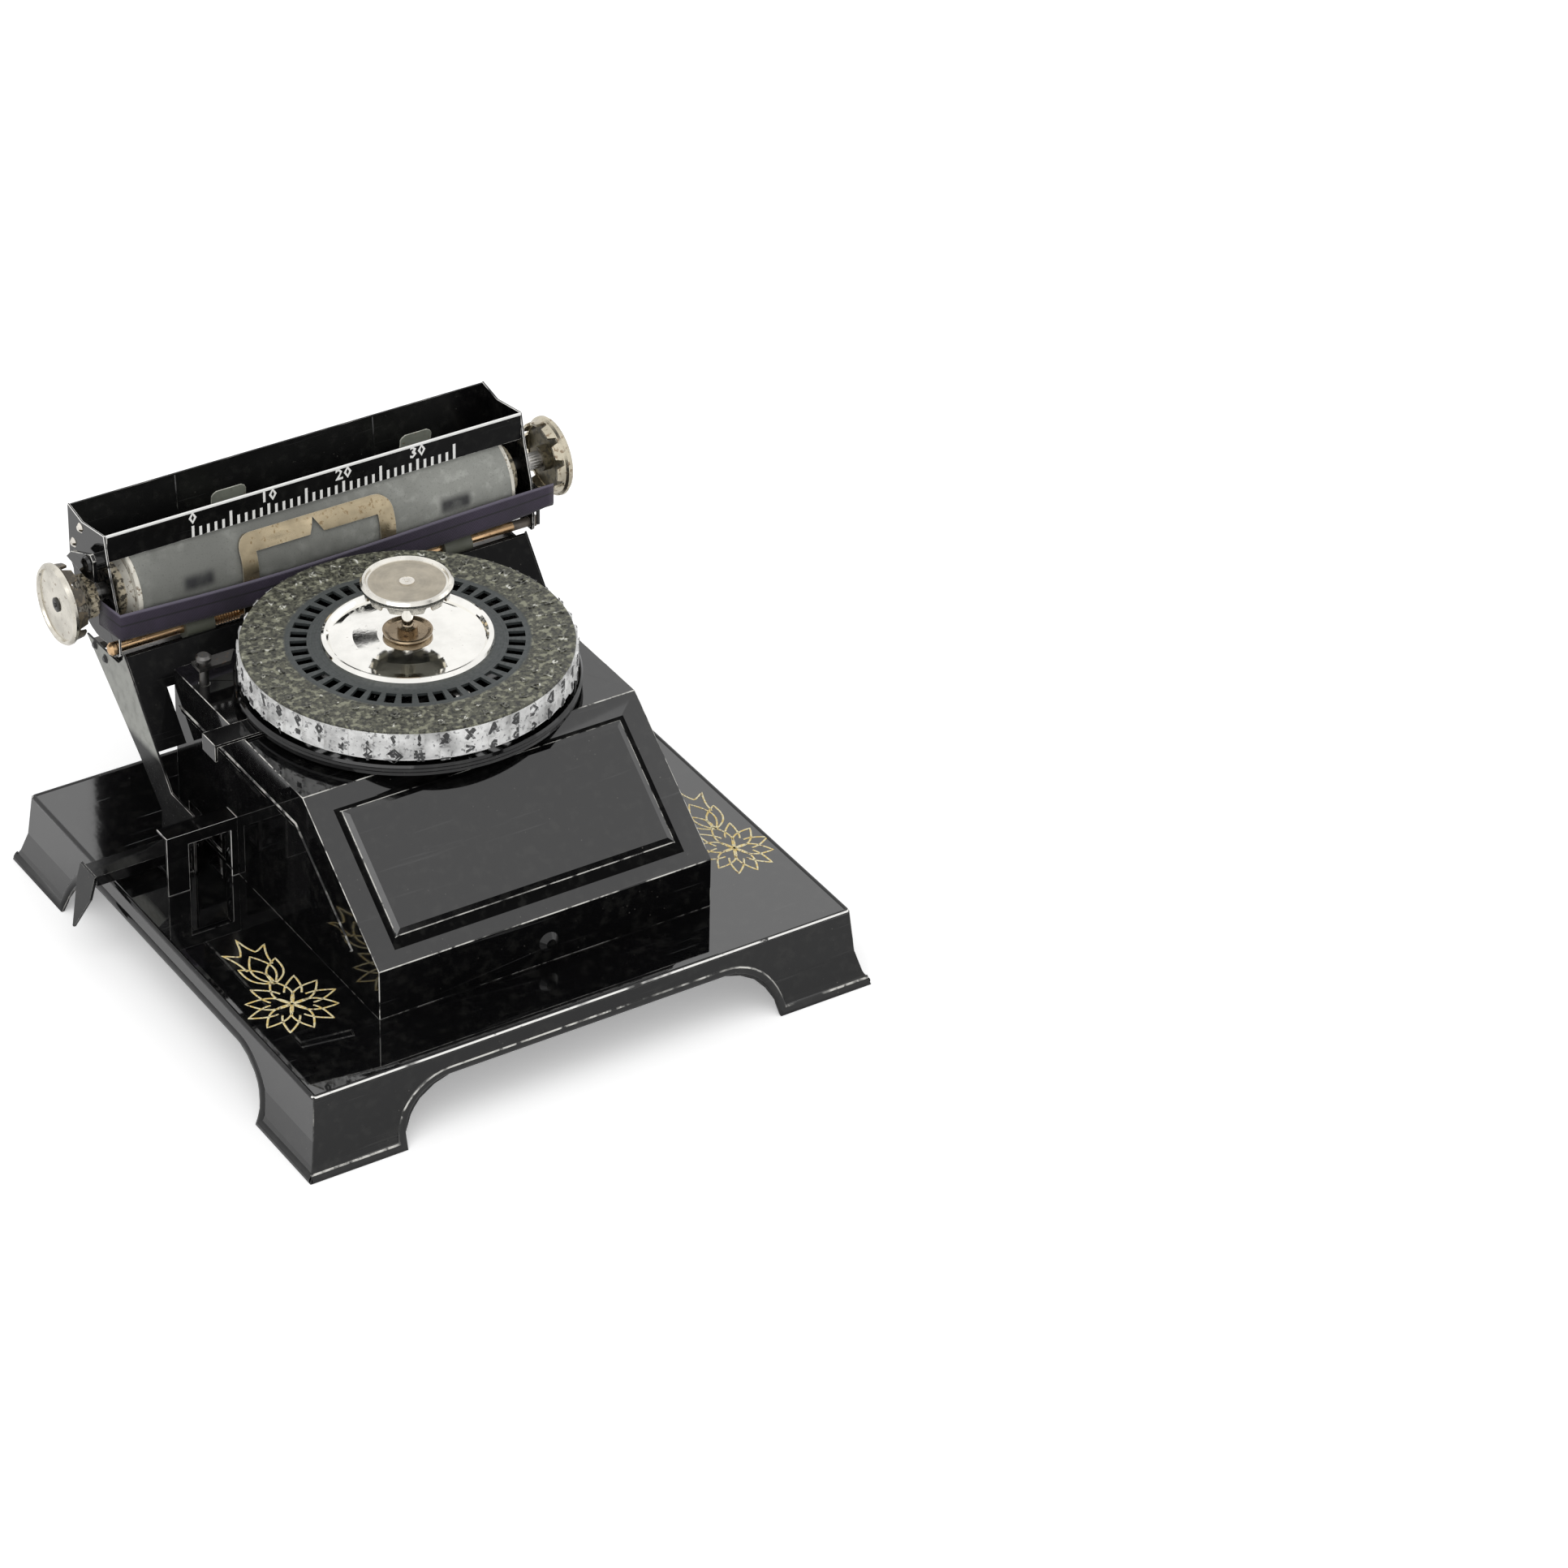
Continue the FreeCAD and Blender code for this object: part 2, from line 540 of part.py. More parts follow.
guard_wall = -house_half.value - tin.value
node(rivets("frame_rivets", [
    ([(side_left.value - 4, y, foot_z) for y in (33.5, 48)], (0, 0, 1)),
    ([(side_right.value + 4, y, foot_z) for y in (33.5, 48)], (0, 0, 1)),
    ([(guard_wall, 26.6, z) for z in (34, 43)], (-1, 0, 0)),
    ([(side_left.value, y, z) for y, z in rail_ends], (-1, 0, 0)),
    ([(side_right.value, y, z) for y, z in rail_ends], (1, 0, 0))], 1.7, 0))

# ---------------------------------------------------------------- aligner frame
# A thin sheet bent round the front of the platen: a window over the printing place and an
# arrow notch that points at the ruler.
b = node(new_body("aligner_frame", (0, platen_y, platen_z)))
ah = aligner_half
ar = platen_radius + 0.5
sk = new_sketch(b, "XY_Plane", 0, [rect(-ah, ah, -ar - 0.5, -ar)])
f = b.newObject("PartDesign::Revolution", "aligner_bend")
f.Profile = sk
f.ReferenceAxis = (sk, ["H_Axis"])
f.Angle = 52
f.Reversed = True
pad(b, "xz", [rect(-ah, -ah + 6, -21, 0.2), rect(ah - 6, ah, -21, 0.2)], -ar - 0.5, -ar)
cut(b, "xz", [[(-ah + 6, -3), (ah - 6, -3), (ah - 6, 7.3), (2.6, 7.3), (0, 11.8), (-2.6, 7.3), (-ah + 6, 7.3)]],
    -ar - 3, -5)
corner = 6.0
sheet_arc = (ar.value + 0.5) * math.radians(52)
edge = []
for i in range(7):
    dx, ds = polar(corner, 90 - 15 * i)
    height = math.sin((sheet_arc - corner + ds) / (ar.value + 0.5))
    edge.append((ah - corner + dx, (ar + 0.5) * height))
for s in (-1, 1):
    cut(b, "xz", [[(x * s, z) for x, z in edge] + [(s * (ah + 1), edge[-1][1]), (s * (ah + 1), ar + 0.5),
                                                   (edge[0][0] * s, ar + 0.5)]], -ar - 3, -5)
leg_mid = aligner_half.value - 3
rivet_y, rivet_z = [v.value for v in on_platen([(-15.5, -19.1)])[0]]
node(rivets("aligner_rivets", [([(s * leg_mid, rivet_y, rivet_z) for s in (-1, 1)], (0, 1, 0))], 1.0, 0))

# ---------------------------------------------------------------- carriage body
left_out = carriage_mid - carriage_half
right_out = carriage_mid + carriage_half
trough_r = platen_radius + 2
plate = on_platen([(20, 23.8), (9.8, 21.9), (-6, 24.7), (-8.5, 13.9), (-13, 0.5), (-14.4, -8.5), (-14.4, -17.1),
                   (-13.2, -18.2), (-8, -18.2)])
for i in range(10):
    dy, dz = polar(1, -105 + i * 105 / 9.0)
    plate.append((platen_y + (trough_r + 0.7) * dy, platen_z + (trough_r + 0.7) * dz))
plate += on_platen([(20, 3)])
for label, x0, x1 in (("end_plate_left", left_out, left_out + tin), ("end_plate_right", right_out - tin, right_out)):
    b = node(new_body(label))
    pad(b, "yz", [plate, ring(platen_y, platen_z, shaft_radius + run_fit), ring(rod_y, rod_z, rod_radius + run_fit)],
        x0, x1)
b = node(new_body("carriage_back"))
curve = []
for i in range(13):
    dy, dz = polar(1, -111 + i * 111 / 12.0)
    curve.append((platen_y + trough_r * dy, platen_z + trough_r * dz))
curve += on_platen([(19.2, 23.5), (19.9, 23.5)])
for i in range(13):
    dy, dz = polar(1, -i * 111 / 12.0)
    curve.append((platen_y + (trough_r + 0.7) * dy, platen_z + (trough_r + 0.7) * dz))
pad(b, "yz", [curve], left_out + tin, right_out - tin)
b = node(new_body("ruler_bar"))
pad(b, "xz", [rect(left_out + tin, right_out - tin, ruler_low, ruler_high)], platen_y - 6.8, platen_y - 6)
kink = [(y.value, z.value) for y, z in on_platen([(11, 19), (16.5, 10.5)])]
node(rivets("carriage_rivets", [([(left_out.value, y, z) for y, z in kink], (-1, 0, 0)),
                                ([(right_out.value, y, z) for y, z in kink], (1, 0, 0))], 1.8, 0))

def under_trough(dy, gap):
    """A point below the trough at an offset from the platen's axis, in the YZ plane."""
    outside = trough_r + 0.7 + gap
    return (platen_y + dy, platen_z - root(outside * outside - dy * dy))


b = node(new_body("rail_shoes"))
shoe = on_platen([(-7.8, -27.3), (-4.6, -27.3), (-4.6, -26.08), (-6.08, -26.08), (-6.08, -22.92), (0.08, -22.92),
                  (0.08, -26.08), (-1.4, -26.08), (-1.4, -27.3), (1.8, -27.3)])
shoe += [under_trough(dy, 0.06) for dy in (1.8, 0, -2, -4, -6, -7.8)]
for s in (-1, 1):
    pad(b, "yz", [shoe], carriage_mid + (16 * s - 5), carriage_mid + (16 * s + 5))
b = node(new_body("feed_rack"))
pad(b, "yz", [on_platen([(6.6, -20.4), (8, -20.4)]) + [under_trough(8, 0.1), under_trough(6.6, 0.1)]],
    carriage_mid - 52, carriage_mid + 52)
first = carriage_mid - 50
rack_low = platen_z - 20.4
tooth = cut(b, "xz", [[(first - 0.9, rack_low - 0.1), (first + 0.9, rack_low - 0.1), (first, rack_low + 1.7)]],
            platen_y + 6, platen_y + 9)
f = b.newObject("PartDesign::LinearPattern", "rack_teeth")
f.Originals = [tooth]
f.Direction = ([a for a in b.Origin.OriginFeatures if a.Role == "X_Axis"][0], [""])
f.Length = 2.8 * 35
f.Occurrences = 36
b.Tip = f
pawl_z = platen_z - 23.1
b = node(new_body("feed_pawl", (14, platen_y, pawl_z)))
pad(b, "xz", [[(-2.2, -0.8), (-0.8, -2.2), (1.4, -2.2), (10.5, 0.9), (9.6, 2.2), (7.6, 1.2), (0.8, 2.2), (-0.8, 2.2),
               (-2.2, 0.8)]], 6.9, 7.9)
cut(b, "xz", [ring(0, 0, 1.0 + run_fit)], 6, 9)
b = node(new_body("pawl_pin", (14, platen_y + 6.6, pawl_z), Rotation(Vector(0, 0, 1), Vector(0, 1, 0))))
turned(b, "z", [[(0, 0), (1.0, 0), (1.0, 1.5), (1.9, 1.5), (1.9, 2.1), (0, 2.3)]])

# paper fingers: two spring leaves behind the platen
b = node(new_body("paper_fingers"))
leaf = on_platen([(3.6, 22.5), (4.2, 17.1)])
back = on_platen([(4.0, 22.5), (4.7, 17.4)])
for a in (64, 48, 32, 16, 0, -13, -25):
    dy, dz = polar(1, a)
    leaf.append((platen_y + (platen_radius + 0.35) * dy, platen_z + (platen_radius + 0.35) * dz))
    back.append((platen_y + (platen_radius + 0.75) * dy, platen_z + (platen_radius + 0.75) * dz))
for side, a in ((leaf, -31), (back, -29.4)):
    dy, dz = polar(1, a)
    side.append((platen_y + (platen_radius + 1.85) * dy, platen_z + (platen_radius + 1.85) * dz))
tab_top = platen_z + 22.6
for low, high in ((-34.2, -21.2), (37.5, 49.5)):
    pad(b, "yz", [leaf + back[::-1]], carriage_mid + low, carriage_mid + high)
    for x, inward in ((carriage_mid + low, 1), (carriage_mid + high, -1)):
        cut(b, "xz", [[(x - 0.1 * inward, tab_top - 2.1), (x + 0.6 * inward, tab_top - 0.9), (x + 2.0 * inward, tab_top),
                       (x - 0.1 * inward, tab_top)]], platen_y + 3, platen_y + 5)

# ---------------------------------------------------------------- platen
at = (carriage_mid, platen_y, platen_z)
ph = platen_half
b = node(new_body("platen_rubber", at))
turned(b, "x", [rect(-ph, ph, platen_radius - 1.8, platen_radius)])
b = node(new_body("platen_core", at))
turned(b, "x", [rect(-ph, ph, shaft_radius + 0.02, platen_radius - 1.8)])
b = node(new_body("platen_caps", at))
cap = [(ph, shaft_radius + 0.02), (ph + 5.6, shaft_radius + 0.02), (ph + 5.6, 6.5), (ph + 2.2, 6.5), (ph + 1.4, 8.5),
       (ph + 1.4, 12.2), (ph + 1.0, platen_radius - 0.6), (ph, platen_radius - 0.6)]
turned(b, "x", [cap])
turned(b, "x", [[(-x, r) for x, r in cap]])
b = node(new_body("platen_shaft", at))
end = platen_knob_face - 1.9
turned(b, "x", [rect(-end, end, 0, shaft_radius)])
knob("platen_knob_left", (carriage_mid - platen_knob_face, platen_y, platen_z), Rotation(Vector(0, 1, 0), -90),
     platen_knob, 3.02, 5.8, 4.4, 10)
knob("platen_knob_right", (carriage_mid + platen_knob_face, platen_y, platen_z), Rotation(Vector(0, 1, 0), 90),
     platen_knob, 3.02, 5.8, 4.4, 10)
b = node(new_body("knob_screws", at))
face = platen_knob_face
for s in (-1, 1):
    turned(b, "x", [[(s * (face - 0.8), 0), (s * (face - 0.8), 2.5), (s * (face - 0.4), 2.5), (s * (face - 0.1), 1.6),
                     (s * (face - 0.1), 0.9), (s * (face + 0.3), 0.7), (s * (face + 0.4), 0)]])
b = node(new_body("ratchet_wheel", at))
gear = []
for i in range(24):
    gear += [polar(7.6, 15 * i), polar(6.6, 15 * i + 3)]
pad(b, "yz", [gear, ring(0, 0, 3.02)], -85, -82)
pivot_y, pivot_z = on_platen([(-4.5, 15)])[0]
b = node(new_body("line_pawl", (0, pivot_y, pivot_z)))
pad(b, "yz", [[(16.6, -5.7), (12.9, -1.9), (-1.5, 4.3), (-3.5, 2.5), (-3.9, -5.3), (2.5, -6.6)],
              ring(0, 0, 1.6 + run_fit)], left_out - 5.1, left_out - 3.7)
b = node(new_body("pawl_stud", (left_out, pivot_y, pivot_z)))
turned(b, "x", [[(0, 0), (0, 2.8), (-3.55, 2.8), (-3.55, 1.6), (-5.25, 1.6), (-5.25, 2.8), (-6.2, 2.3), (-6.2, 0)]])

# ---------------------------------------------------------------- feed rod and rollers
at = (carriage_mid, rod_y, rod_z)
ch = carriage_half
b = node(new_body("feed_rod", at))
rr = rod_radius
turned(b, "x", [[(-ch - 2.8, 0), (-ch - 2.4, 1.6), (-ch - 1.5, 2.3), (-ch - 0.2, 2.3), (-ch - 0.2, rr), (ch + 0.2, rr),
                 (ch + 0.2, 2.3), (ch + 1.5, 2.3), (ch + 2.4, 1.6), (ch + 2.8, 0)]])
b = node(new_body("feed_rollers", at))
turned(b, "x", [rect(-54.5, -44, rr + 0.02, roller_radius)])
turned(b, "x", [rect(44, 54.5, rr + 0.02, roller_radius)])
b = node(new_body("feed_spring", at))
coil = [(-43, rr + 0.02)]
for i in range(5):
    coil += [(-42.9 + 1.9 * i, rr + 0.4), (-42.2 + 1.9 * i, rr + 0.9), (-41.2 + 1.9 * i, rr + 0.4)]
coil += [(-33.3, rr + 0.02)]
turned(b, "x", [coil])

# ---------------------------------------------------------------- ribbon
b = node(new_body("ink_ribbon"))
lo = left_out
ry = ribbon_y
ro = right_out
tail = ro + 6.3
tuck = ry + 12.45
pad(b, "xy", [[(lo - 1.9, tuck), (lo - 0.35, ry + 0.2), (lo, ry), (tail, ry), (tail, ry + 0.2), (lo + 0.05, ry + 0.2),
               (lo - 0.15, ry + 0.35), (lo - 1.7, tuck)]], ribbon_low, ribbon_low + ribbon_width)
b = node(new_body("ribbon_clip_left"))
pad(b, "xy", [[(lo, tuck - 4), (lo - 1.0, tuck - 3.8), (lo - 1.35, tuck - 1), (lo, tuck - 1)]],
    ribbon_low + 0.6, ribbon_low + ribbon_width - 0.6)
b = node(new_body("ribbon_clip_right"))
pad(b, "xy", [[(ro, ry + 0.2), (tail, ry + 0.2), (tail, ry + 0.8), (ro + 0.8, ry + 0.8), (ro + 0.8, tuck - 4),
               (ro, tuck - 4)]], ribbon_low + 0.6, ribbon_low + ribbon_width - 0.6)
pad(b, "xy", [rect(ro, ro + 1.0, ry + 0.2, ry + 1.2)], ribbon_low - 5.4, ribbon_low + 0.6)

# ---------------------------------------------------------------- checks and export
doc.recompute()
for obj in doc.Objects:
    if "Invalid" in obj.State or "Error" in obj.State:
        raise RuntimeError("failed: %s %s" % (obj.Name, obj.State))
os.makedirs("parts", exist_ok=True)
for name in os.listdir("parts"):
    if name.endswith(".step"):
        os.remove(os.path.join("parts", name))
total = 0
for obj in nodes:
    shape = obj.Shape
    if shape.isNull() or not shape.isValid() or not shape.Solids:
        raise RuntimeError("bad shape: " + obj.Label)
    shape.exportStep(os.path.join("parts", obj.Label + ".step"))
    box = shape.BoundBox
    facets = MeshPart.meshFromShape(Shape=shape, LinearDeflection=0.1, AngularDeflection=0.5).CountFacets
    total += facets
    print("%-20s solids %d vol %9.1f  x %7.1f %7.1f  y %7.1f %7.1f  z %7.1f %7.1f  f %d" % (
        obj.Label, len(shape.Solids), shape.Volume, box.XMin, box.XMax, box.YMin, box.YMax, box.ZMin, box.ZMax, facets))
print("nodes", len(nodes), "facets", total)
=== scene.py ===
"""Dresses the index typewriter: a finish for every node, and the fine pieces that sit on them."""
import json
import logging
import math
from dataclasses import dataclass, field
from enum import Enum, IntEnum
from typing import Callable, Sequence

import bpy
import numpy as np
from mathutils import Matrix, Vector


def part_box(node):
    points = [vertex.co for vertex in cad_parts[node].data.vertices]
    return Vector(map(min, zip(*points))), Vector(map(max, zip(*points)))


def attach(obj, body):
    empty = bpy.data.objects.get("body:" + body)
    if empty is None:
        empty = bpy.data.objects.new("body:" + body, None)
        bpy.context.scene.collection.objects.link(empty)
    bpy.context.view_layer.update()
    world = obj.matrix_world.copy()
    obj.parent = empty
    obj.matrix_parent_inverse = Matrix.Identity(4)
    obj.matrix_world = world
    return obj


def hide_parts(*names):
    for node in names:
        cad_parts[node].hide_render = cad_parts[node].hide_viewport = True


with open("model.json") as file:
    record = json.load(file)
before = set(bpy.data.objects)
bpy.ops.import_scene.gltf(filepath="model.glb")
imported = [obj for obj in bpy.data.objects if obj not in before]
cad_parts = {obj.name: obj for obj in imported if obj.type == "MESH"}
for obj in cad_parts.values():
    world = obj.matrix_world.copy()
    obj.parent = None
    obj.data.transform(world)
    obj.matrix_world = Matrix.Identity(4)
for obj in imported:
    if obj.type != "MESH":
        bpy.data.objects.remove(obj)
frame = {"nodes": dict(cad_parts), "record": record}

logging.basicConfig(level=logging.INFO, format="%(name)s: %(message)s")
LOG = logging.getLogger("typewriter")
MM = 0.001
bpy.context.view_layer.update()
QUARTER = math.pi / 2.0
ROUND = 2.0 * math.pi
SKIN = 0.02  # how far a laid-on piece stands off its surface, or lies in it, in millimetres


class Unit(Enum):
    """The rigid bodies that pieces ride on."""

    FRAME = "frame"
    PRINT_LEVER = "print_lever_unit"
    TYPE_WHEEL = "type_wheel_unit"
    CARRIAGE = "carriage_unit"
    PLATEN = "platen_unit"
    FEED_ROLLER = "feed_roller_unit"


class Slot(Enum):
    """The material slots of the record that added pieces take their finish from."""

    BLACK = "black"
    STEEL = "steel"
    NICKEL = "nickel"
    DISC = "disc"
    TYPE_METAL = "type_metal"
    BRONZE = "bronze"
    RIBBON = "ribbon"


class Axis(IntEnum):
    """The axes, as the numbers of a place's coordinates."""

    X = 0
    Y = 1
    Z = 2


# ------------------------------------------------------------------ shader trees
Socket = bpy.types.NodeSocket
WHITE = (1.0, 1.0, 1.0)


class Graph:
    """Adds nodes to one shader tree and joins their sockets."""

    def __init__(self, tree: bpy.types.NodeTree) -> None:
        """Keep the tree that is built."""
        self.tree = tree

    def fill(self, node: bpy.types.Node, inputs: dict) -> None:
        """Fill a node's sockets.

        Args:
            node: the node.
            inputs: socket name or number to a plain value, a colour or another node's output.
        """
        for key, value in inputs.items():
            socket = node.inputs[key]
            if isinstance(value, Socket):
                self.tree.links.new(value, socket)
            else:
                socket.default_value = (*value, 1.0) if socket.type == "RGBA" else value

    def add(self, kind: str, inputs: dict | None = None, **settings: object) -> bpy.types.Node:
        """Add a node, set its properties and fill its sockets.

        Args:
            kind: the node's type name.
            inputs: what goes into its sockets.
            settings: its properties.

        Returns:
            The new node.
        """
        node = self.tree.nodes.new(kind)
        for key, value in settings.items():
            setattr(node, key, value)
        self.fill(node, inputs or {})
        return node

    def noise(self, vector: Socket, scale: float, detail: float = 3.0, roughness: float = 0.55) -> Socket:
        """Return the grey value of a noise texture at a point."""
        return self.add("ShaderNodeTexNoise", {"Vector": vector, "Scale": scale, "Detail": detail,
                                               "Roughness": roughness}).outputs["Fac"]

    def spread(self, value: Socket, low: float, high: float, to_low: float = 0.0,
               to_high: float = 1.0) -> Socket:
        """Return value carried smoothly from the range low..high to to_low..to_high, and held there."""
        return self.add("ShaderNodeMapRange", {"Value": value, "From Min": low, "From Max": high,
                                               "To Min": to_low, "To Max": to_high},
                        interpolation_type="SMOOTHSTEP").outputs["Result"]

    def math(self, operation: str, a: object, b: object = 0.0) -> Socket:
        """Return the result of one arithmetic step on two values."""
        return self.add("ShaderNodeMath", {0: a, 1: b}, operation=operation).outputs["Value"]

    def times(self, a: object, b: object) -> Socket:
        """Return the product of two values."""
        return self.math("MULTIPLY", a, b)

    def plus(self, a: object, b: object) -> Socket:
        """Return the sum of two values."""
        return self.math("ADD", a, b)

    def minus(self, a: object, b: object) -> Socket:
        """Return the difference of two values."""
        return self.math("SUBTRACT", a, b)

    def mix(self, factor: object, a: object, b: object) -> Socket:
        """Return colour a where factor is 0 and colour b where it is 1."""
        return self.add("ShaderNodeMix", {0: factor, 6: a, 7: b}, data_type="RGBA").outputs[2]

    def parts(self, vector: Socket) -> Sequence[Socket]:
        """Return the X, Y and Z of a vector."""
        return self.add("ShaderNodeSeparateXYZ", {0: vector}).outputs

    def window(self, value: Socket, low: float, high: float, soft: float) -> Socket:
        """Return 1 where value lies between low and high and 0 elsewhere, with soft ends."""
        return self.times(self.spread(value, low - soft, low + soft),
                          self.spread(value, high - soft, high + soft, 1.0, 0.0))

    def apart(self, vector: Socket, axis: Axis, centre: tuple) -> tuple:
        """Return a point's distance from a straight axis, and its place along it.

        Args:
            vector: the point, in metres.
            axis: the axis's direction.
            centre: its two other coordinates, in metres.

        Returns:
            The sockets of the distance and of the place.
        """
        parts = self.parts(vector)
        squares = []
        for other, middle in zip((other for other in Axis if other != axis), centre):
            step = self.minus(parts[other], middle)
            squares.append(self.times(step, step))
        return self.math("SQRT", self.plus(*squares)), parts[axis]


def shader_group(name: str, inputs: dict, outputs: Sequence[str], build: Callable) -> bpy.types.NodeTree:
    """Make a shader node group once and return it afterwards.

    Args:
        name: the group's name.
        inputs: socket name to its default value, where None means a vector.
        outputs: the names of the values that it puts out.
        build: function of (graph, group input node, group output node) that fills the group.

    Returns:
        The group's node tree.
    """
    known = bpy.data.node_groups.get(name)
    if known:
        return known
    tree = bpy.data.node_groups.new(name, "ShaderNodeTree")
    for key, value in inputs.items():
        kind = "NodeSocketVector" if value is None else "NodeSocketFloat"
        socket = tree.interface.new_socket(key, in_out="INPUT", socket_type=kind)
        if value is not None:
            socket.default_value = value
    for key in outputs:
        tree.interface.new_socket(key, in_out="OUTPUT", socket_type="NodeSocketFloat")
    graph = Graph(tree)
    build(graph, graph.add("NodeGroupInput"), graph.add("NodeGroupOutput"))
    return tree


def fill_handling(graph: Graph, given: bpy.types.Node, out: bpy.types.Node) -> None:
    """Fill the group of handling marks.

    Cloud is a soft noise at the given size, Fine a noise six times as fine, Speck small dots near the
    middles of a cell noise where a slow noise is high, which serve as dust grains and as painted glints,
    and Scratch hair lines, a noise squeezed to a fortieth along one way.

    Args:
        graph: the group's graph.
        given: its input node.
        out: its output node.
    """
    spot = graph.add("ShaderNodeVectorMath", {0: given.outputs["Vector"], "Scale": given.outputs["Size"]},
                     operation="SCALE").outputs["Vector"]
    from_middle = graph.add("ShaderNodeTexVoronoi", {"Vector": spot, "Scale": 9.0}).outputs["Distance"]
    grain = graph.spread(from_middle, 0.05, 0.13, 1.0, 0.0)
    rare = graph.spread(graph.noise(spot, 2.0, 1.0), 0.52, 0.66)
    drawn_out = graph.add("ShaderNodeMapping", {"Vector": spot, "Rotation": (0.5, 0.3, 0.7),
                                                "Scale": (0.25, 10.0, 10.0)}).outputs["Vector"]
    graph.fill(out, {"Cloud": graph.noise(spot, 1.0, 4.0), "Fine": graph.noise(spot, 6.0, 5.0),
                     "Speck": graph.times(grain, rare),
                     "Scratch": graph.spread(graph.noise(drawn_out, 1.6, 2.0, 0.7), 0.66, 0.72)})


def fill_turning(graph: Graph, given: bpy.types.Node, out: bpy.types.Node) -> None:
    """Fill the group of turning marks: rings about an axis, a noise of the radius and the height alone.

    Args:
        graph: the group's graph.
        given: its input node.
        out: its output node.
    """
    line = graph.add("ShaderNodeCombineXYZ", {0: given.outputs["Radius"], 2: given.outputs["Height"]})
    graph.fill(out, {"Rings": graph.noise(line.outputs[0], given.outputs["Size"], 2.0, 0.7)})


class Coat(Graph):
    """The graph of one material.

    Attributes:
        material: the material.
        shader: its Principled BSDF.
        place: the output that gives the place on the object, in metres.
        normal: the output that gives the surface's direction.
    """

    def __init__(self, name: str) -> None:
        """Make the material with its shader alone."""
        self.material = bpy.data.materials.new(name)
        self.material.use_nodes = True
        super().__init__(self.material.node_tree)
        self.shader = self.tree.nodes["Principled BSDF"]
        spot = self.add("ShaderNodeTexCoord")
        self.place, self.normal = spot.outputs["Object"], spot.outputs["Normal"]

    def handling(self, size: float) -> Sequence[Socket]:
        """Place the group of handling marks.

        Args:
            size: marks per metre.

        Returns:
            The outputs Cloud, Fine, Speck and Scratch.
        """
        tree = shader_group("handling_marks", {"Vector": None, "Size": 40.0},
                            ("Cloud", "Fine", "Speck", "Scratch"), fill_handling)
        return self.add("ShaderNodeGroup", {"Vector": self.place, "Size": size}, node_tree=tree).outputs

    def turning(self, radius: Socket, height: Socket, size: float) -> Socket:
        """Place the group of turning marks.

        Args:
            radius: the distance from the turning axis, in metres.
            height: the place along it, in metres.
            size: rings per metre.

        Returns:
            The output that runs from 0 to 1 over the rings.
        """
        tree = shader_group("turning_marks", {"Radius": 0.0, "Height": 0.0, "Size": 900.0},
                            ("Rings",), fill_turning)
        inputs = {"Radius": radius, "Height": height, "Size": size}
        return self.add("ShaderNodeGroup", inputs, node_tree=tree).outputs["Rings"]

    def facing(self, axis: Axis, low: float, high: float, to_low: float = 0.0,
               to_high: float = 1.0) -> Socket:
        """Return how far the surface looks along an axis, carried from low..high to to_low..to_high."""
        return self.spread(self.parts(self.normal)[axis], low, high, to_low, to_high)

    def bump(self, height: Socket, depth: float, strength: float) -> Socket:
        """Return the normal of a surface that a height of 1 lifts by depth metres."""
        return self.add("ShaderNodeBump", {"Height": height, "Distance": depth,
                                           "Strength": strength}).outputs["Normal"]


# ------------------------------------------------------------------ finishes
def tone(colour: tuple, share: float) -> tuple:
    """Return a darker or a lighter tone of a colour."""
    return tuple(share * part for part in colour)


@dataclass(frozen=True)
class Finish:
    """A surface finish, built once as a material.

    Attributes:
        name: the material's name.
        colour: the clean surface's colour.
        roughness: the clean surface's roughness.
        metallic: 1 for bare metal and 0 for the rest.
        marks: marks of handling per metre.
        relief: how deep its unevenness is, in metres, and how strongly it shows, from 0 to 1.
    """

    name: str
    colour: tuple = (0.5, 0.5, 0.5)
    roughness: float = 0.4
    metallic: float = 0.0
    marks: float = 60.0
    relief: tuple = (0.0, 0.0)

    def uneven(self, coat: Coat, value: Socket, low: float, high: float) -> Socket:
        """Return the roughness times low to high, where value runs from 0.3 to 0.7."""
        return coat.spread(value, 0.3, 0.7, self.roughness * low, self.roughness * high)

    def surface(self, coat: Coat) -> dict:
        """Work out what goes into the shader's sockets: here a light breakup of the gloss alone.

        Args:
            coat: the material's graph.

        Returns:
            Socket name to its value.
        """
        return {"Roughness": self.uneven(coat, coat.handling(self.marks)["Fine"], 0.8, 1.25)}

    def material(self) -> bpy.types.Material:
        """Build the material on first use: the plain colour and gloss, and what surface() gives over them.

        Returns:
            The material.
        """
        if self not in MATERIALS:
            coat = Coat(self.name)
            plain = {"Base Color": self.colour, "Roughness": self.roughness, "Metallic": self.metallic}
            coat.fill(coat.shader, {**plain, **self.surface(coat)})
            MATERIALS[self] = coat.material
        return MATERIALS[self]


MATERIALS: dict[Finish, bpy.types.Material] = {}


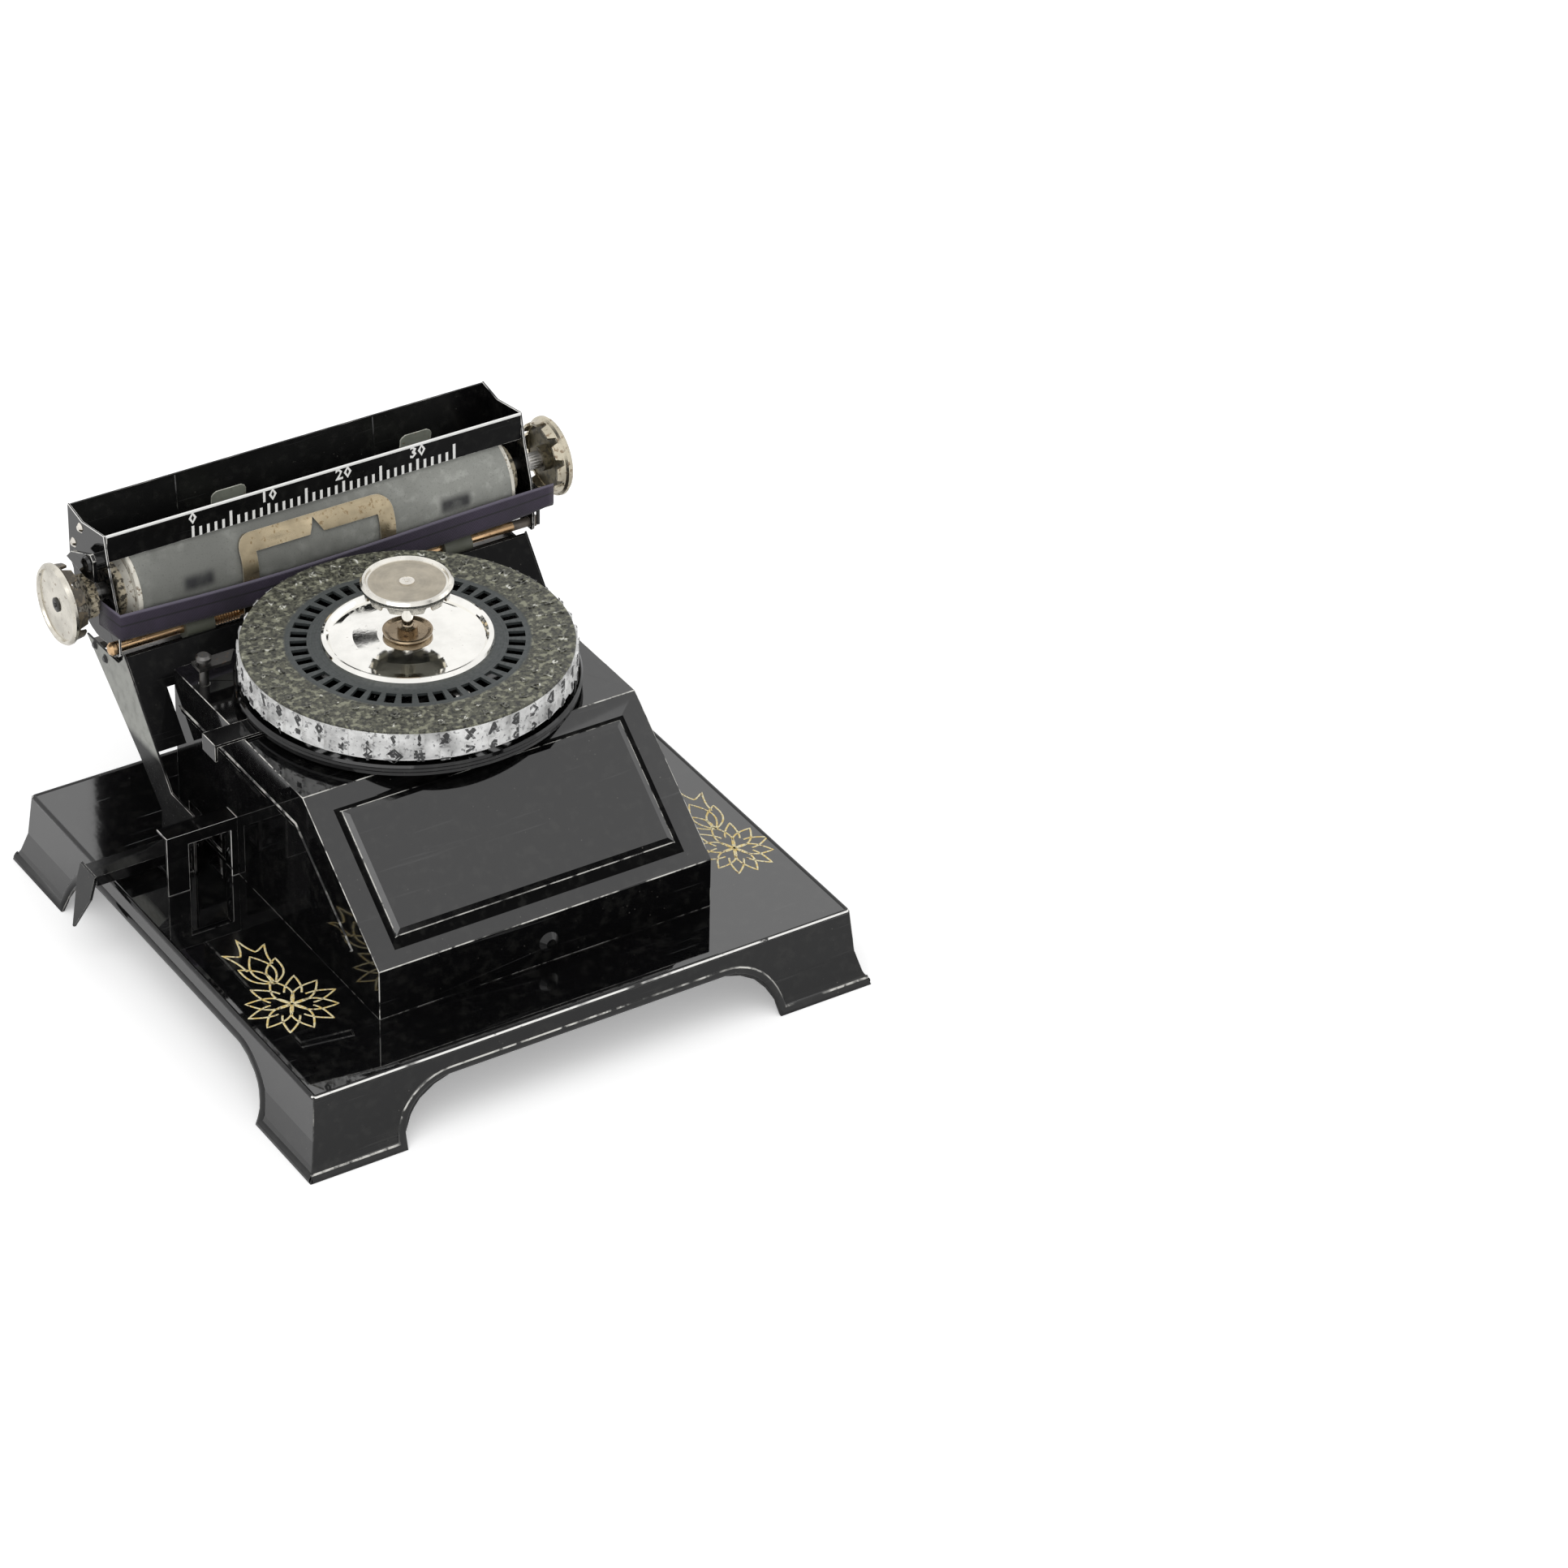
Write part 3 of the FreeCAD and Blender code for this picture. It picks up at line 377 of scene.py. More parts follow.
@dataclass(frozen=True)
class Lacquer(Finish):
    """Stoved black lacquer: a mirror gloss with dust grains, hair scratches and a slight unevenness.

    Attributes:
        gloss: the specular level of the lacquer.
        dust: how much the grains and scratches show, from 0 to 1.
        grains: the grains' colour.
        scratches: the scratches' colour.
        haze: the colour of the hazy patches.
        rubbed: how much shows bright in long stretches, painted highlight and wear, from 0 to 1.
        bare: the colour of the bright stretches, and of the painted light on the faces that look left.
        breaks: the fine noise's values between which a bright stretch breaks off.
        varnish: weight of a clear second coat on the faces that look up and on those that look left.
        varnish_index: that coat's index of refraction.
        worn: how far the faces that look left take painted light in the bare colour, from 0 to 1.
        above: the height in metres above which that painted light lies.
    """

    marks: float = 45.0
    relief: tuple = (0.00006, 0.35)
    gloss: float = 0.5
    dust: float = 0.35
    grains: tuple = (0.20, 0.19, 0.17)
    scratches: tuple = (0.09, 0.09, 0.09)
    haze: tuple = (0.014, 0.014, 0.013)
    rubbed: float = 0.0
    bare: tuple = (0.62, 0.61, 0.58)
    breaks: tuple = (0.28, 0.52)
    varnish: tuple = (0.0, 0.0)
    varnish_index: float = 1.7
    worn: float = 0.0
    above: float = 0.0

    def surface(self, coat: Coat) -> dict:
        """Work out the lacquer. Bright stretches, painted highlight and wear, lie where a soft noise is
        high, broken up by a fine one.

        Args:
            coat: the material's graph.

        Returns:
            Socket name to its value.
        """
        cloud, fine, speck, scratch = coat.handling(self.marks)
        colour = coat.mix(coat.times(speck, self.dust), self.colour, self.grains)
        colour = coat.mix(coat.times(scratch, self.dust * 0.5), colour, self.scratches)
        colour = coat.mix(coat.spread(fine, 0.48, 0.72, 0.0, 0.7), colour, self.haze)
        rough = self.uneven(coat, cloud, 0.7, 1.3)
        look = {"Specular IOR Level": self.gloss, "Normal": coat.bump(cloud, *self.relief)}
        # Painted highlight: bright stretches along the rounded edges, mixed with wear.
        if self.rubbed > 0.0:
            low = 0.66 - 0.34 * self.rubbed
            patch = coat.times(coat.spread(cloud, low, low + 0.12), coat.spread(fine, *self.breaks))
            colour = coat.mix(patch, colour, self.bare)
            rough = coat.plus(rough, coat.times(patch, 0.3))
        # Painted light: faces that look left, above a height, are painted a lighter grey as the lit side.
        if self.worn > 0.0:
            height = coat.spread(coat.parts(coat.place)[Axis.Z], self.above - 0.002, self.above + 0.002)
            leftward = coat.facing(Axis.X, -0.92, -0.75, 1.0, 0.0)
            grey = coat.times(coat.times(leftward, coat.spread(fine, 0.25, 0.6, 0.7, 1.0)), height)
            colour = coat.mix(coat.times(grey, self.worn), colour, self.bare)
        if max(self.varnish) > 0.0:
            ways = coat.facing(Axis.Z, 0.62, 0.76), coat.facing(Axis.X, -0.92, -0.75, 1.0, 0.0)
            weights = [coat.times(way, weight) for way, weight in zip(ways, self.varnish)]
            look.update({"Coat Weight": coat.math("MAXIMUM", *weights), "Coat Roughness": self.roughness,
                         "Coat IOR": self.varnish_index})
        return {**look, "Base Color": colour, "Roughness": coat.plus(rough, coat.times(scratch, 0.12))}


@dataclass(frozen=True)
class Plated(Finish):
    """Warm nickel plate or bare steel: clouded gloss, fine scratches and brown spots of age.

    Attributes:
        spots: the colour of the spots.
        age: how many of them there are, from 0 for few to above 1 for a surface that is mostly brown.
        cloud: what share of the colour is left in the clouds.
    """

    metallic: float = 1.0
    marks: float = 110.0
    relief: tuple = (0.00006, 0.5)
    spots: tuple = (0.24, 0.17, 0.11)
    age: float = 0.3
    cloud: float = 0.72

    def surface(self, coat: Coat) -> dict:
        """Work out the metal. A spot is where a fine noise is above a level that falls with age.

        Args:
            coat: the material's graph.

        Returns:
            Socket name to its value.
        """
        cloud, fine, _, scratch = coat.handling(self.marks)
        cloudy = coat.mix(coat.spread(cloud, 0.35, 0.70), self.colour, tone(self.colour, self.cloud))
        spot = coat.spread(fine, 0.66 - 0.14 * self.age, 0.78 - 0.16 * self.age)
        cover = min(0.9, 0.7 + 0.15 * self.age)
        rough = coat.plus(self.uneven(coat, cloud, 0.7, 1.35), coat.times(spot, 0.25))
        return {"Base Color": coat.mix(coat.times(spot, cover), cloudy, self.spots),
                "Roughness": coat.plus(rough, coat.times(scratch, 0.10)),
                "Normal": coat.bump(fine, *self.relief)}


@dataclass(frozen=True)
class Tarnished(Plated):
    """Plated metal, browned in one zone about an axis.

    Attributes:
        axis: the direction of the axis.
        centre: its two other coordinates, in metres.
        reach: the zone's radius, in metres.
        zone: where it starts and ends along the axis, in metres.
        tarnish: its colour.
        depth: how much of the metal's own colour it takes away, from 0 to 1.
        grime: how dark the zone's dirty patches are, from 0 to 1.
        turned: rings of the turning tool per metre.
        dulled: how much of the metal's shine the zone loses, from 0 to 1.
    """

    axis: Axis = Axis.Z
    centre: tuple = (0.0, 0.0)
    reach: float = 0.01
    zone: tuple = (0.0, 1.0)
    tarnish: tuple = (0.33, 0.28, 0.22)
    depth: float = 0.9
    grime: float = 0.0
    turned: float = 1500.0
    dulled: float = 0.55

    def surface(self, coat: Coat) -> dict:
        """Work out the metal: the plate's colour and gloss, then the zone's with turned rings, by one mask.

        Args:
            coat: the material's graph.

        Returns:
            Socket name to its value.
        """
        look = super().surface(coat)
        radius, along = coat.apart(coat.place, self.axis, self.centre)
        rings = coat.turning(radius, along, self.turned)
        inside = coat.spread(radius, self.reach - 0.0002, self.reach + 0.0002, self.depth, 0.0)
        mask = coat.times(inside, coat.window(along, *self.zone, 0.00015))
        cloud = coat.handling(170.0)["Cloud"]
        dull = coat.mix(coat.spread(cloud, 0.3, 0.7), self.tarnish, tone(self.tarnish, 0.7))
        dull = coat.mix(coat.spread(rings, 0.4, 0.75, 0.0, 0.25), dull, tone(self.tarnish, 1.6))
        if self.grime > 0.0:
            patch = coat.spread(coat.handling(70.0)["Fine"], 0.46, 0.56, 0.0, self.grime)
            dull = coat.mix(patch, dull, tone(self.tarnish, 0.16))
        clean_rough = coat.times(look["Roughness"], coat.minus(1.0, mask))
        dull_rough = coat.times(mask, coat.spread(rings, 0.3, 0.7, 0.38, 0.52))
        return {**look, "Base Color": coat.mix(mask, look["Base Color"], dull),
                "Roughness": coat.plus(clean_rough, dull_rough),
                "Metallic": coat.minus(1.0, coat.times(mask, self.dulled))}


@dataclass(frozen=True)
class DarkBelow(Tarnished):
    """Plate with a browned zone, and painted shade on its faces that look down.

    Attributes:
        below: the colour of the painted shade on those faces.
    """

    below: tuple = (0.10, 0.10, 0.09)

    def surface(self, coat: Coat) -> dict:
        """Work out the metal, then paint shade where the surface looks down.

        Args:
            coat: the material's graph.

        Returns:
            Socket name to its value.
        """
        look = super().surface(coat)
        # Painted shade: the faces that look down are darkened as the knob's shaded underside.
        down = coat.facing(Axis.Z, -0.8, -0.5, 1.0, 0.0)
        return {**look, "Base Color": coat.mix(down, look["Base Color"], self.below)}


@dataclass(frozen=True)
class CastType(Finish):
    """Cast white metal of the type band: matt, pitted, with ink caught in the hollows.

    Attributes:
        inked: how much of it the ink covers, from 0 to 1.
        ink: the dried ink's colour.
        rim: the height in metres under which a painted highlight line runs along the band's lower edge.
        bright: the colour of that painted highlight.
    """

    metallic: float = 0.2
    marks: float = 105.0
    relief: tuple = (0.0003, 0.7)
    inked: float = 0.4
    ink: tuple = (0.05, 0.05, 0.055)
    rim: float = 0.0
    bright: tuple = (0.95, 0.95, 0.94)

    def surface(self, coat: Coat) -> dict:
        """Work out the type metal. Ink lies where a fine noise is above a level that falls with inked.

        Args:
            coat: the material's graph.

        Returns:
            Socket name to its value.
        """
        cloud, fine, *_ = coat.handling(self.marks)
        level = 0.70 - 0.36 * self.inked
        wet = coat.spread(fine, level, level + 0.06)
        soft = coat.mix(coat.spread(cloud, 0.35, 0.7), self.colour, tone(self.colour, 0.5))
        inky = coat.mix(coat.times(wet, 0.85), soft, self.ink)
        # Painted highlight: a bright line along the band's lower edge.
        low_down = coat.spread(coat.parts(coat.place)[Axis.Z], self.rim - 0.0002, self.rim, 1.0, 0.0)
        return {"Base Color": coat.mix(low_down, inky, self.bright),
                "Roughness": coat.spread(fine, 0.35, 0.7, 0.30, 0.60),
                "Normal": coat.bump(fine, *self.relief)}


@dataclass(frozen=True)
class WornRubber(Finish):
    """Grey platen rubber: chalky clouds, dark soft marks where the feed rollers stood, a dark grain.

    Attributes:
        axis: (Y, Z) of the platen's axis, in metres.
        bands: (low X, high X) of each roller mark, in metres.
        arc: lowest and highest angle of the marks above the front, in degrees.
        chalk: the chalky patches' colour.
        pores: the dark grain's colour.
        pressed: the roller marks' colour.
        gloss: the specular level.
    """

    marks: float = 30.0
    relief: tuple = (0.0002, 0.5)
    axis: tuple = (0.0, 0.0)
    bands: tuple = ()
    arc: tuple = (1.0, 20.0)
    chalk: tuple = (0.42, 0.425, 0.395)
    pores: tuple = (0.07, 0.07, 0.065)
    pressed: tuple = (0.022, 0.022, 0.025)
    gloss: float = 0.35

    def pressed_mask(self, coat: Coat) -> Socket:
        """Work out where the rollers stood: soft windows along X, times one over the angle about the axis.

        Args:
            coat: the material's graph.

        Returns:
            The mask.
        """
        parts = coat.parts(coat.place)
        front = coat.minus(self.axis[0], parts[Axis.Y])
        above = coat.minus(parts[Axis.Z], self.axis[1])
        low, high = (math.radians(angle) for angle in self.arc)
        turned = coat.window(coat.math("ARCTAN2", above, front), low, high, 0.12)
        mask: object = 0.0
        for left, right in self.bands:
            mask = coat.plus(mask, coat.times(coat.window(parts[Axis.X], left, right, 0.0016), turned))
        return mask

    def surface(self, coat: Coat) -> dict:
        """Work out the rubber.

        Args:
            coat: the material's graph.

        Returns:
            Socket name to its value.
        """
        cloud, fine, *_ = coat.handling(self.marks)
        pale = coat.spread(cloud, 0.34, 0.68)
        colour = coat.mix(pale, tone(self.colour, 0.58), self.colour)
        chalky = coat.times(coat.spread(fine, 0.48, 0.66), pale)
        colour = coat.mix(coat.times(chalky, 0.6), colour, self.chalk)
        grain = coat.spread(coat.handling(300.0)["Fine"], 0.55, 0.7, 0.0, 0.35)
        colour = coat.mix(grain, colour, self.pores)
        blotch = coat.spread(fine, 0.30, 0.60, 0.72, 0.95)
        return {"Base Color": coat.mix(coat.times(self.pressed_mask(coat), blotch), colour, self.pressed),
                "Roughness": coat.spread(fine, 0.3, 0.7, 0.42, 0.66), "Specular IOR Level": self.gloss,
                "Normal": coat.bump(fine, *self.relief)}


@dataclass(frozen=True)
class PaintedDisc(Finish):
    """Grey-olive paint of the index disc: rough and speckled where the characters are, smooth inside.

    Attributes:
        centre: (X, Y) of the wheel's axis, in metres.
        smooth: radius in metres up to which the paint is smooth.
        inner: the smooth ring's colour.
        glint: how much of the rough zone takes painted glints in a pale metal colour, from 0 to 1.
        metal: the colour of those painted glints.
        dots: the colour of the bright dots, also painted glints.
        grain: grains of the rough zone per metre.
        turned: rings of the smooth one per metre.
    """

    marks: float = 125.0
    relief: tuple = (0.0004, 0.8)
    centre: tuple = (0.0, 0.017)
    smooth: float = 0.0405
    inner: tuple = (0.052, 0.060, 0.060)
    glint: float = 0.3
    metal: tuple = (0.68, 0.68, 0.62)
    dots: tuple = (0.80, 0.80, 0.74)
    grain: float = 400.0
    turned: float = 2200.0

    def surface(self, coat: Coat) -> dict:
        """Work out the paint. Two noises make its mottling with painted shade and highlight, and a cell
        noise the bright dots as painted glints.

        Args:
            coat: the material's graph.

        Returns:
            Socket name to its value.
        """
        fine = coat.handling(self.marks)["Fine"]
        grain = coat.handling(self.grain)["Cloud"]
        radius, height = coat.apart(coat.place, Axis.Z, self.centre)
        rough = coat.spread(radius, self.smooth - 0.0006, self.smooth + 0.0006)
        # Painted shade, highlights and glints on the relief, over the paint's own mottling.
        speckle = coat.mix(coat.spread(fine, 0.38, 0.62), tone(self.colour, 0.16), self.colour)
        speckle = coat.mix(coat.spread(grain, 0.50, 0.62, 0.0, 0.85), speckle, tone(self.colour, 2.7))
        level = 0.74 - 0.22 * self.glint
        speckle = coat.mix(coat.spread(grain, level, level + 0.05), speckle, self.metal)
        speckle = coat.mix(coat.handling(28.0)["Speck"], speckle, self.dots)
        rings = coat.spread(coat.turning(radius, height, self.turned), 0.35, 0.7)
        plain = coat.mix(rings, tone(self.inner, 0.7), self.inner)
        return {"Base Color": coat.mix(rough, plain, speckle),
                "Roughness": coat.spread(fine, 0.3, 0.7, 0.34, 0.6),
                "Normal": coat.bump(coat.times(grain, rough), *self.relief)}


@dataclass(frozen=True)
class InkedCloth(Finish):
    """Inked ribbon: a fine plain weave, warp and weft as crossed sine waves, with a dry sheen.

    Attributes:
        threads: threads per metre.
        crease: where the painted shade of a crease lies across the ribbon, in metres from its lower edge.
        creased: the colour of that painted shade.
        faded: where the faded upper edge starts, in metres from the lower edge.
        pale: that edge's colour.
        sheen: weight and roughness of the dry sheen.
    """

    relief: tuple = (0.00004, 0.6)
    threads: float = 2600.0
    crease: tuple = (0.0052, 0.0058)
    creased: tuple = (0.006, 0.005, 0.009)
    faded: float = 0.0086
    pale: tuple = (0.15, 0.135, 0.18)
    sheen: tuple = (0.15, 0.5)

    def surface(self, coat: Coat) -> dict:
        """Work out the ribbon on its UV map, where U and V are metres along and across it.

        Args:
            coat: the material's graph.

        Returns:
            Socket name to its value.
        """
        along, across, _ = coat.parts(coat.add("ShaderNodeUVMap").outputs["UV"])
        warp, weft = (coat.math("SINE", coat.times(way, self.threads * 2.0)) for way in (along, across))
        cloud = coat.handling(self.marks)["Cloud"]
        colour = coat.mix(coat.spread(cloud, 0.3, 0.7), self.colour, tone(self.colour, 0.55))
        # Painted shade along the crease.
        colour = coat.mix(coat.window(across, *self.crease, 0.0002), colour, self.creased)
        edge = coat.times(coat.spread(across, self.faded, self.faded + 0.0008), 0.8)
        return {"Base Color": coat.mix(edge, colour, self.pale), "Sheen Weight": self.sheen[0],
                "Sheen Roughness": self.sheen[1],
                "Normal": coat.bump(coat.times(warp, weft), *self.relief)}


@dataclass(frozen=True)
class GoldLeaf(Finish):
    """Gold leaf lines: paler and browner patches, and a little black showing through.

    Attributes:
        pale: the colour of the thick leaf.
        thin: the colour where the black shows through.
    """

    marks: float = 130.0
    relief: tuple = (0.0001, 0.5)
    pale: tuple = (0.92, 0.84, 0.55)
    thin: tuple = (0.24, 0.13, 0.03)

    def surface(self, coat: Coat) -> dict:
        """Work out the leaf.

        Args:
            coat: the material's graph.

        Returns:
            Socket name to its value.
        """
        fine = coat.handling(self.marks)["Fine"]
        leaf = coat.mix(coat.spread(fine, 0.42, 0.54), self.colour, self.pale)
        return {"Base Color": coat.mix(coat.spread(fine, 0.56, 0.64, 0.0, 0.85), leaf, self.thin),
                "Normal": coat.bump(fine, *self.relief)}


@dataclass(frozen=True)
class Grained(Finish):
    """Turned hardwood: rings along the core, a noise stretched fifteen times along X.

    Attributes:
        grain: the noise's scale along X, Y and Z.
        dark: the dark rings' colour.
    """

    relief: tuple = (0.0002, 0.5)
    grain: tuple = (12.0, 180.0, 180.0)
    dark: tuple = (0.22, 0.13, 0.07)

    def surface(self, coat: Coat) -> dict:
        """Work out the wood.

        Args:
            coat: the material's graph.

        Returns:
            Socket name to its value.
        """
        stretched = coat.add("ShaderNodeMapping", {"Vector": coat.place, "Scale": self.grain})
        rings = coat.noise(stretched.outputs["Vector"], 1.0, 4.0)
        return {"Base Color": coat.mix(coat.spread(rings, 0.35, 0.65), self.colour, self.dark),
                "Normal": coat.bump(rings, *self.relief)}


@dataclass(frozen=True)
class Backing(Finish):
    """Paint of the stage: it has no shine, and may glow where the camera sees it.

    Attributes:
        glow: strength of the light that is added there.
    """

    glow: float = 0.0

    def surface(self, coat: Coat) -> dict:
        """Work out the paint.

        Args:
            coat: the material's graph.

        Returns:
            Socket name to its value.
        """
        look = {"Specular IOR Level": 0.0}
        if self.glow > 0.0:
            seen = coat.add("ShaderNodeLightPath").outputs["Is Camera Ray"]
            look.update({"Emission Color": WHITE, "Emission Strength": coat.times(seen, self.glow)})
        return look


PLATEN_AXIS = tuple(sum(ends) / 2.0 for ends in zip(*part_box("platen_rubber")))
KNOB_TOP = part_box("selector_knob")[1][2]
LEFT_KNOB, RIGHT_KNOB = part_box("platen_knob_left"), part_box("platen_knob_right")
BAND_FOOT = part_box("type_band")[0][2]
STOVED = (0.0034, 0.0034, 0.0037)
RUST = (0.34, 0.18, 0.09)

BLACK = Lacquer("black_lacquer", STOVED, 0.06)
HOUSING_BLACK = Lacquer("housing_lacquer", STOVED, 0.06, varnish=(0.48, 0.0))
BASE_BLACK = Lacquer("base_lacquer", (0.0030, 0.0030, 0.0033), 0.025, gloss=0.42, varnish=(1.0, 0.6))
# Near-black, dull lacquer of the name panel's moulding: painted shade round the panel.
MOULDING_SHADE = Lacquer("moulding_painted_shade", (0.0016, 0.0016, 0.0017), 0.35, gloss=0.04, dust=0.1)
INNER_BLACK = Lacquer("dull_lacquer", STOVED, 0.22, gloss=0.28)
MATT_BLACK = Lacquer("matt_lacquer", (0.0040, 0.0040, 0.0042), 0.30, gloss=0.10)
# The left support's upper faces that look left take painted light.
LEFT_SUPPORT = Lacquer("support_left_light", (0.0040, 0.0040, 0.0042), 0.20, gloss=0.25, worn=0.95,
                       bare=(0.34, 0.345, 0.315), above=0.060)
# Edge finishes: their bright stretches are painted highlight lines along rounded edges, with some wear.
BLACK_EDGE = Lacquer("edge_wear_and_highlight", (0.008, 0.008, 0.008), 0.16, rubbed=0.80, bare=(0.66, 0.65, 0.61),
                     breaks=(0.36, 0.54))
WHITE_EDGE = Lacquer("bright_edge_highlight", (0.02, 0.02, 0.02), 0.16, rubbed=1.0, bare=(0.90, 0.89, 0.86),
                     breaks=(0.30, 0.44))
SMALL_EDGE = Lacquer("thin_edge_highlight", (0.010, 0.010, 0.010), 0.20, rubbed=0.50, bare=(0.34, 0.33, 0.31))
PALE_EDGE = Lacquer("pale_edge_highlight", (0.20, 0.19, 0.16), 0.30, rubbed=0.9, bare=(0.66, 0.64, 0.56))
NICKEL = Plated("nickel_plate", (0.84, 0.80, 0.73), 0.16, age=0.35)
DOME = Plated("polished_nickel", (0.98, 0.965, 0.92), 0.06, spots=(0.42, 0.38, 0.32), age=0.05, cloud=0.9,
              relief=(0.00006, 0.15))
# The selector knob takes painted shade on its underside.
KNOB = DarkBelow("selector_knob_plate", (0.90, 0.87, 0.80), 0.14, age=0.2, centre=(0.0, 0.017),
                 reach=0.0128, zone=(KNOB_TOP - 0.0011, KNOB_TOP - 0.0005), tarnish=(0.42, 0.37, 0.285))
LEFT_PLATE = Tarnished("left_knob_plate", (0.80, 0.76, 0.67), 0.20, age=0.45, grime=0.9, axis=Axis.X,
                       centre=PLATEN_AXIS[1:], reach=0.05,
                       zone=(LEFT_KNOB[0][0] + 0.0024, LEFT_KNOB[1][0] + 0.001),
                       tarnish=(0.15, 0.115, 0.07), depth=0.92)
RIGHT_PLATE = Tarnished("right_knob_plate", (0.66, 0.60, 0.47), 0.24, age=0.85, grime=0.8, axis=Axis.X,
                        centre=PLATEN_AXIS[1:], reach=0.0118,
                        zone=(RIGHT_KNOB[0][0] - 0.001, RIGHT_KNOB[1][0] - 0.002),
                        tarnish=(0.20, 0.17, 0.10))
STEEL = Plated("bright_steel", (0.56, 0.55, 0.53), 0.30, age=0.5)
DARK_STEEL = Plated("oiled_steel", (0.15, 0.145, 0.14), 0.36, age=0.4)
BRONZE = Plated("tarnished_bronze", (0.42, 0.35, 0.235), 0.34, spots=(0.24, 0.17, 0.09), age=0.6)
BOWL = Plated("brown_collar", (0.36, 0.28, 0.19), 0.22, spots=(0.12, 0.08, 0.05), age=0.6)
CAP_METAL = Plated("pale_cap", (0.80, 0.77, 0.68), 0.34, metallic=0.2, spots=(0.16, 0.11, 0.06), age=0.8)
DIRTY_CAP = Plated("dirty_cap", (0.50, 0.44, 0.32), 0.40, metallic=0.2, spots=(0.010, 0.009, 0.007),
                   age=1.35)
BLACK_SCREW = Plated("black_screw", (0.03, 0.028, 0.025), 0.34, metallic=0.3, age=0.4)
COPPER = Plated("dull_copper", (0.78, 0.50, 0.26), 0.30, spots=RUST, age=0.5)
ROD = Tarnished("rod_copper", (0.78, 0.52, 0.29), 0.30, spots=RUST, age=0.4, axis=Axis.X,
                centre=PLATEN_AXIS[1:], reach=0.05, zone=(0.0765, 0.2), tarnish=(0.10, 0.10, 0.10))
RUBBER = WornRubber("worn_platen_rubber", (0.28, 0.286, 0.262), 0.55, axis=PLATEN_AXIS[1:],
                    bands=((-0.0500, -0.0390), (0.0470, 0.0585)))
SLEEVE = Finish("feed_roller_rubber", (0.105, 0.110, 0.085), 0.6)
DISC = PaintedDisc("index_disc_paint", (0.098, 0.098, 0.071), 0.5, glint=0.2)
# The characters take the same painted glints over most of their faces.
RAISED = PaintedDisc("characters_painted_glints", (0.15, 0.15, 0.125), 0.42, smooth=0.0, glint=0.75)
# The type band carries a painted highlight line at its foot.
TYPE_METAL = CastType("cast_band_metal", (0.93, 0.93, 0.92), 0.45, inked=0.36, ink=(0.24, 0.24, 0.245),
                      rim=BAND_FOOT + 0.0009)
INKED_TYPE = CastType("inked_type", (0.40, 0.40, 0.40), 0.45, inked=0.85, ink=(0.012, 0.012, 0.013))
CLOTH = InkedCloth("inked_ribbon", (0.036, 0.025, 0.050), 0.75)
WOOD = Grained("platen_wood", (0.42, 0.27, 0.15), 0.6)
FINGER = Plated("grey_steel", (0.36, 0.38, 0.32), 0.36, metallic=0.2, age=0.4)
WHITE_PAINT = Finish("scale_white", (0.92, 0.92, 0.90), 0.45)
GOLD_LEAF = GoldLeaf("ornament_gold", (0.78, 0.58, 0.20), 0.42)
FLOOR_PAINT = Backing("floor_paint", (0.97, 0.97, 0.97), 0.9, glow=0.30)
CARD_PAINT = Backing("card_paint", (0.004, 0.004, 0.004), 0.5)

SLOT_FINISH = {"black": BLACK, "dark_steel": DARK_STEEL, "steel": STEEL, "nickel": NICKEL, "disc": DISC,
               "type_metal": TYPE_METAL, "bronze": BRONZE, "copper": COPPER, "rubber": RUBBER,
               "wood": WOOD, "ribbon": CLOTH}
NODE_FINISH = {"base_tray": BASE_BLACK, "housing": HOUSING_BLACK, "wheel_tray": HOUSING_BLACK,
               "carriage_back": INNER_BLACK, "ruler_bar": MATT_BLACK, "support_side_left": LEFT_SUPPORT,
               "support_side_right": MATT_BLACK, "support_web": MATT_BLACK, "pawl_stud": BLACK,
               "hub_dome": DOME, "hub_collar": BOWL, "selector_knob": KNOB, "selector_stem": DOME,
               "platen_knob_left": LEFT_PLATE, "platen_knob_right": RIGHT_PLATE, "platen_caps": DIRTY_CAP,
               "ratchet_wheel": DIRTY_CAP, "knob_screws": BLACK_SCREW, "feed_rollers": SLEEVE,
               "feed_rod": ROD, "paper_fingers": FINGER, "rocker_shaft": DARK_STEEL}
# Nodes whose rounded edges take another painted highlight finish than the plain one.
EDGE_FINISH = {"base_tray": SMALL_EDGE, "aligner_frame": PALE_EDGE, "paper_fingers": PALE_EDGE,
               "rail_shoes": PALE_EDGE, "lever_guard": WHITE_EDGE, "end_plate_left": WHITE_EDGE,
               "end_plate_right": WHITE_EDGE}


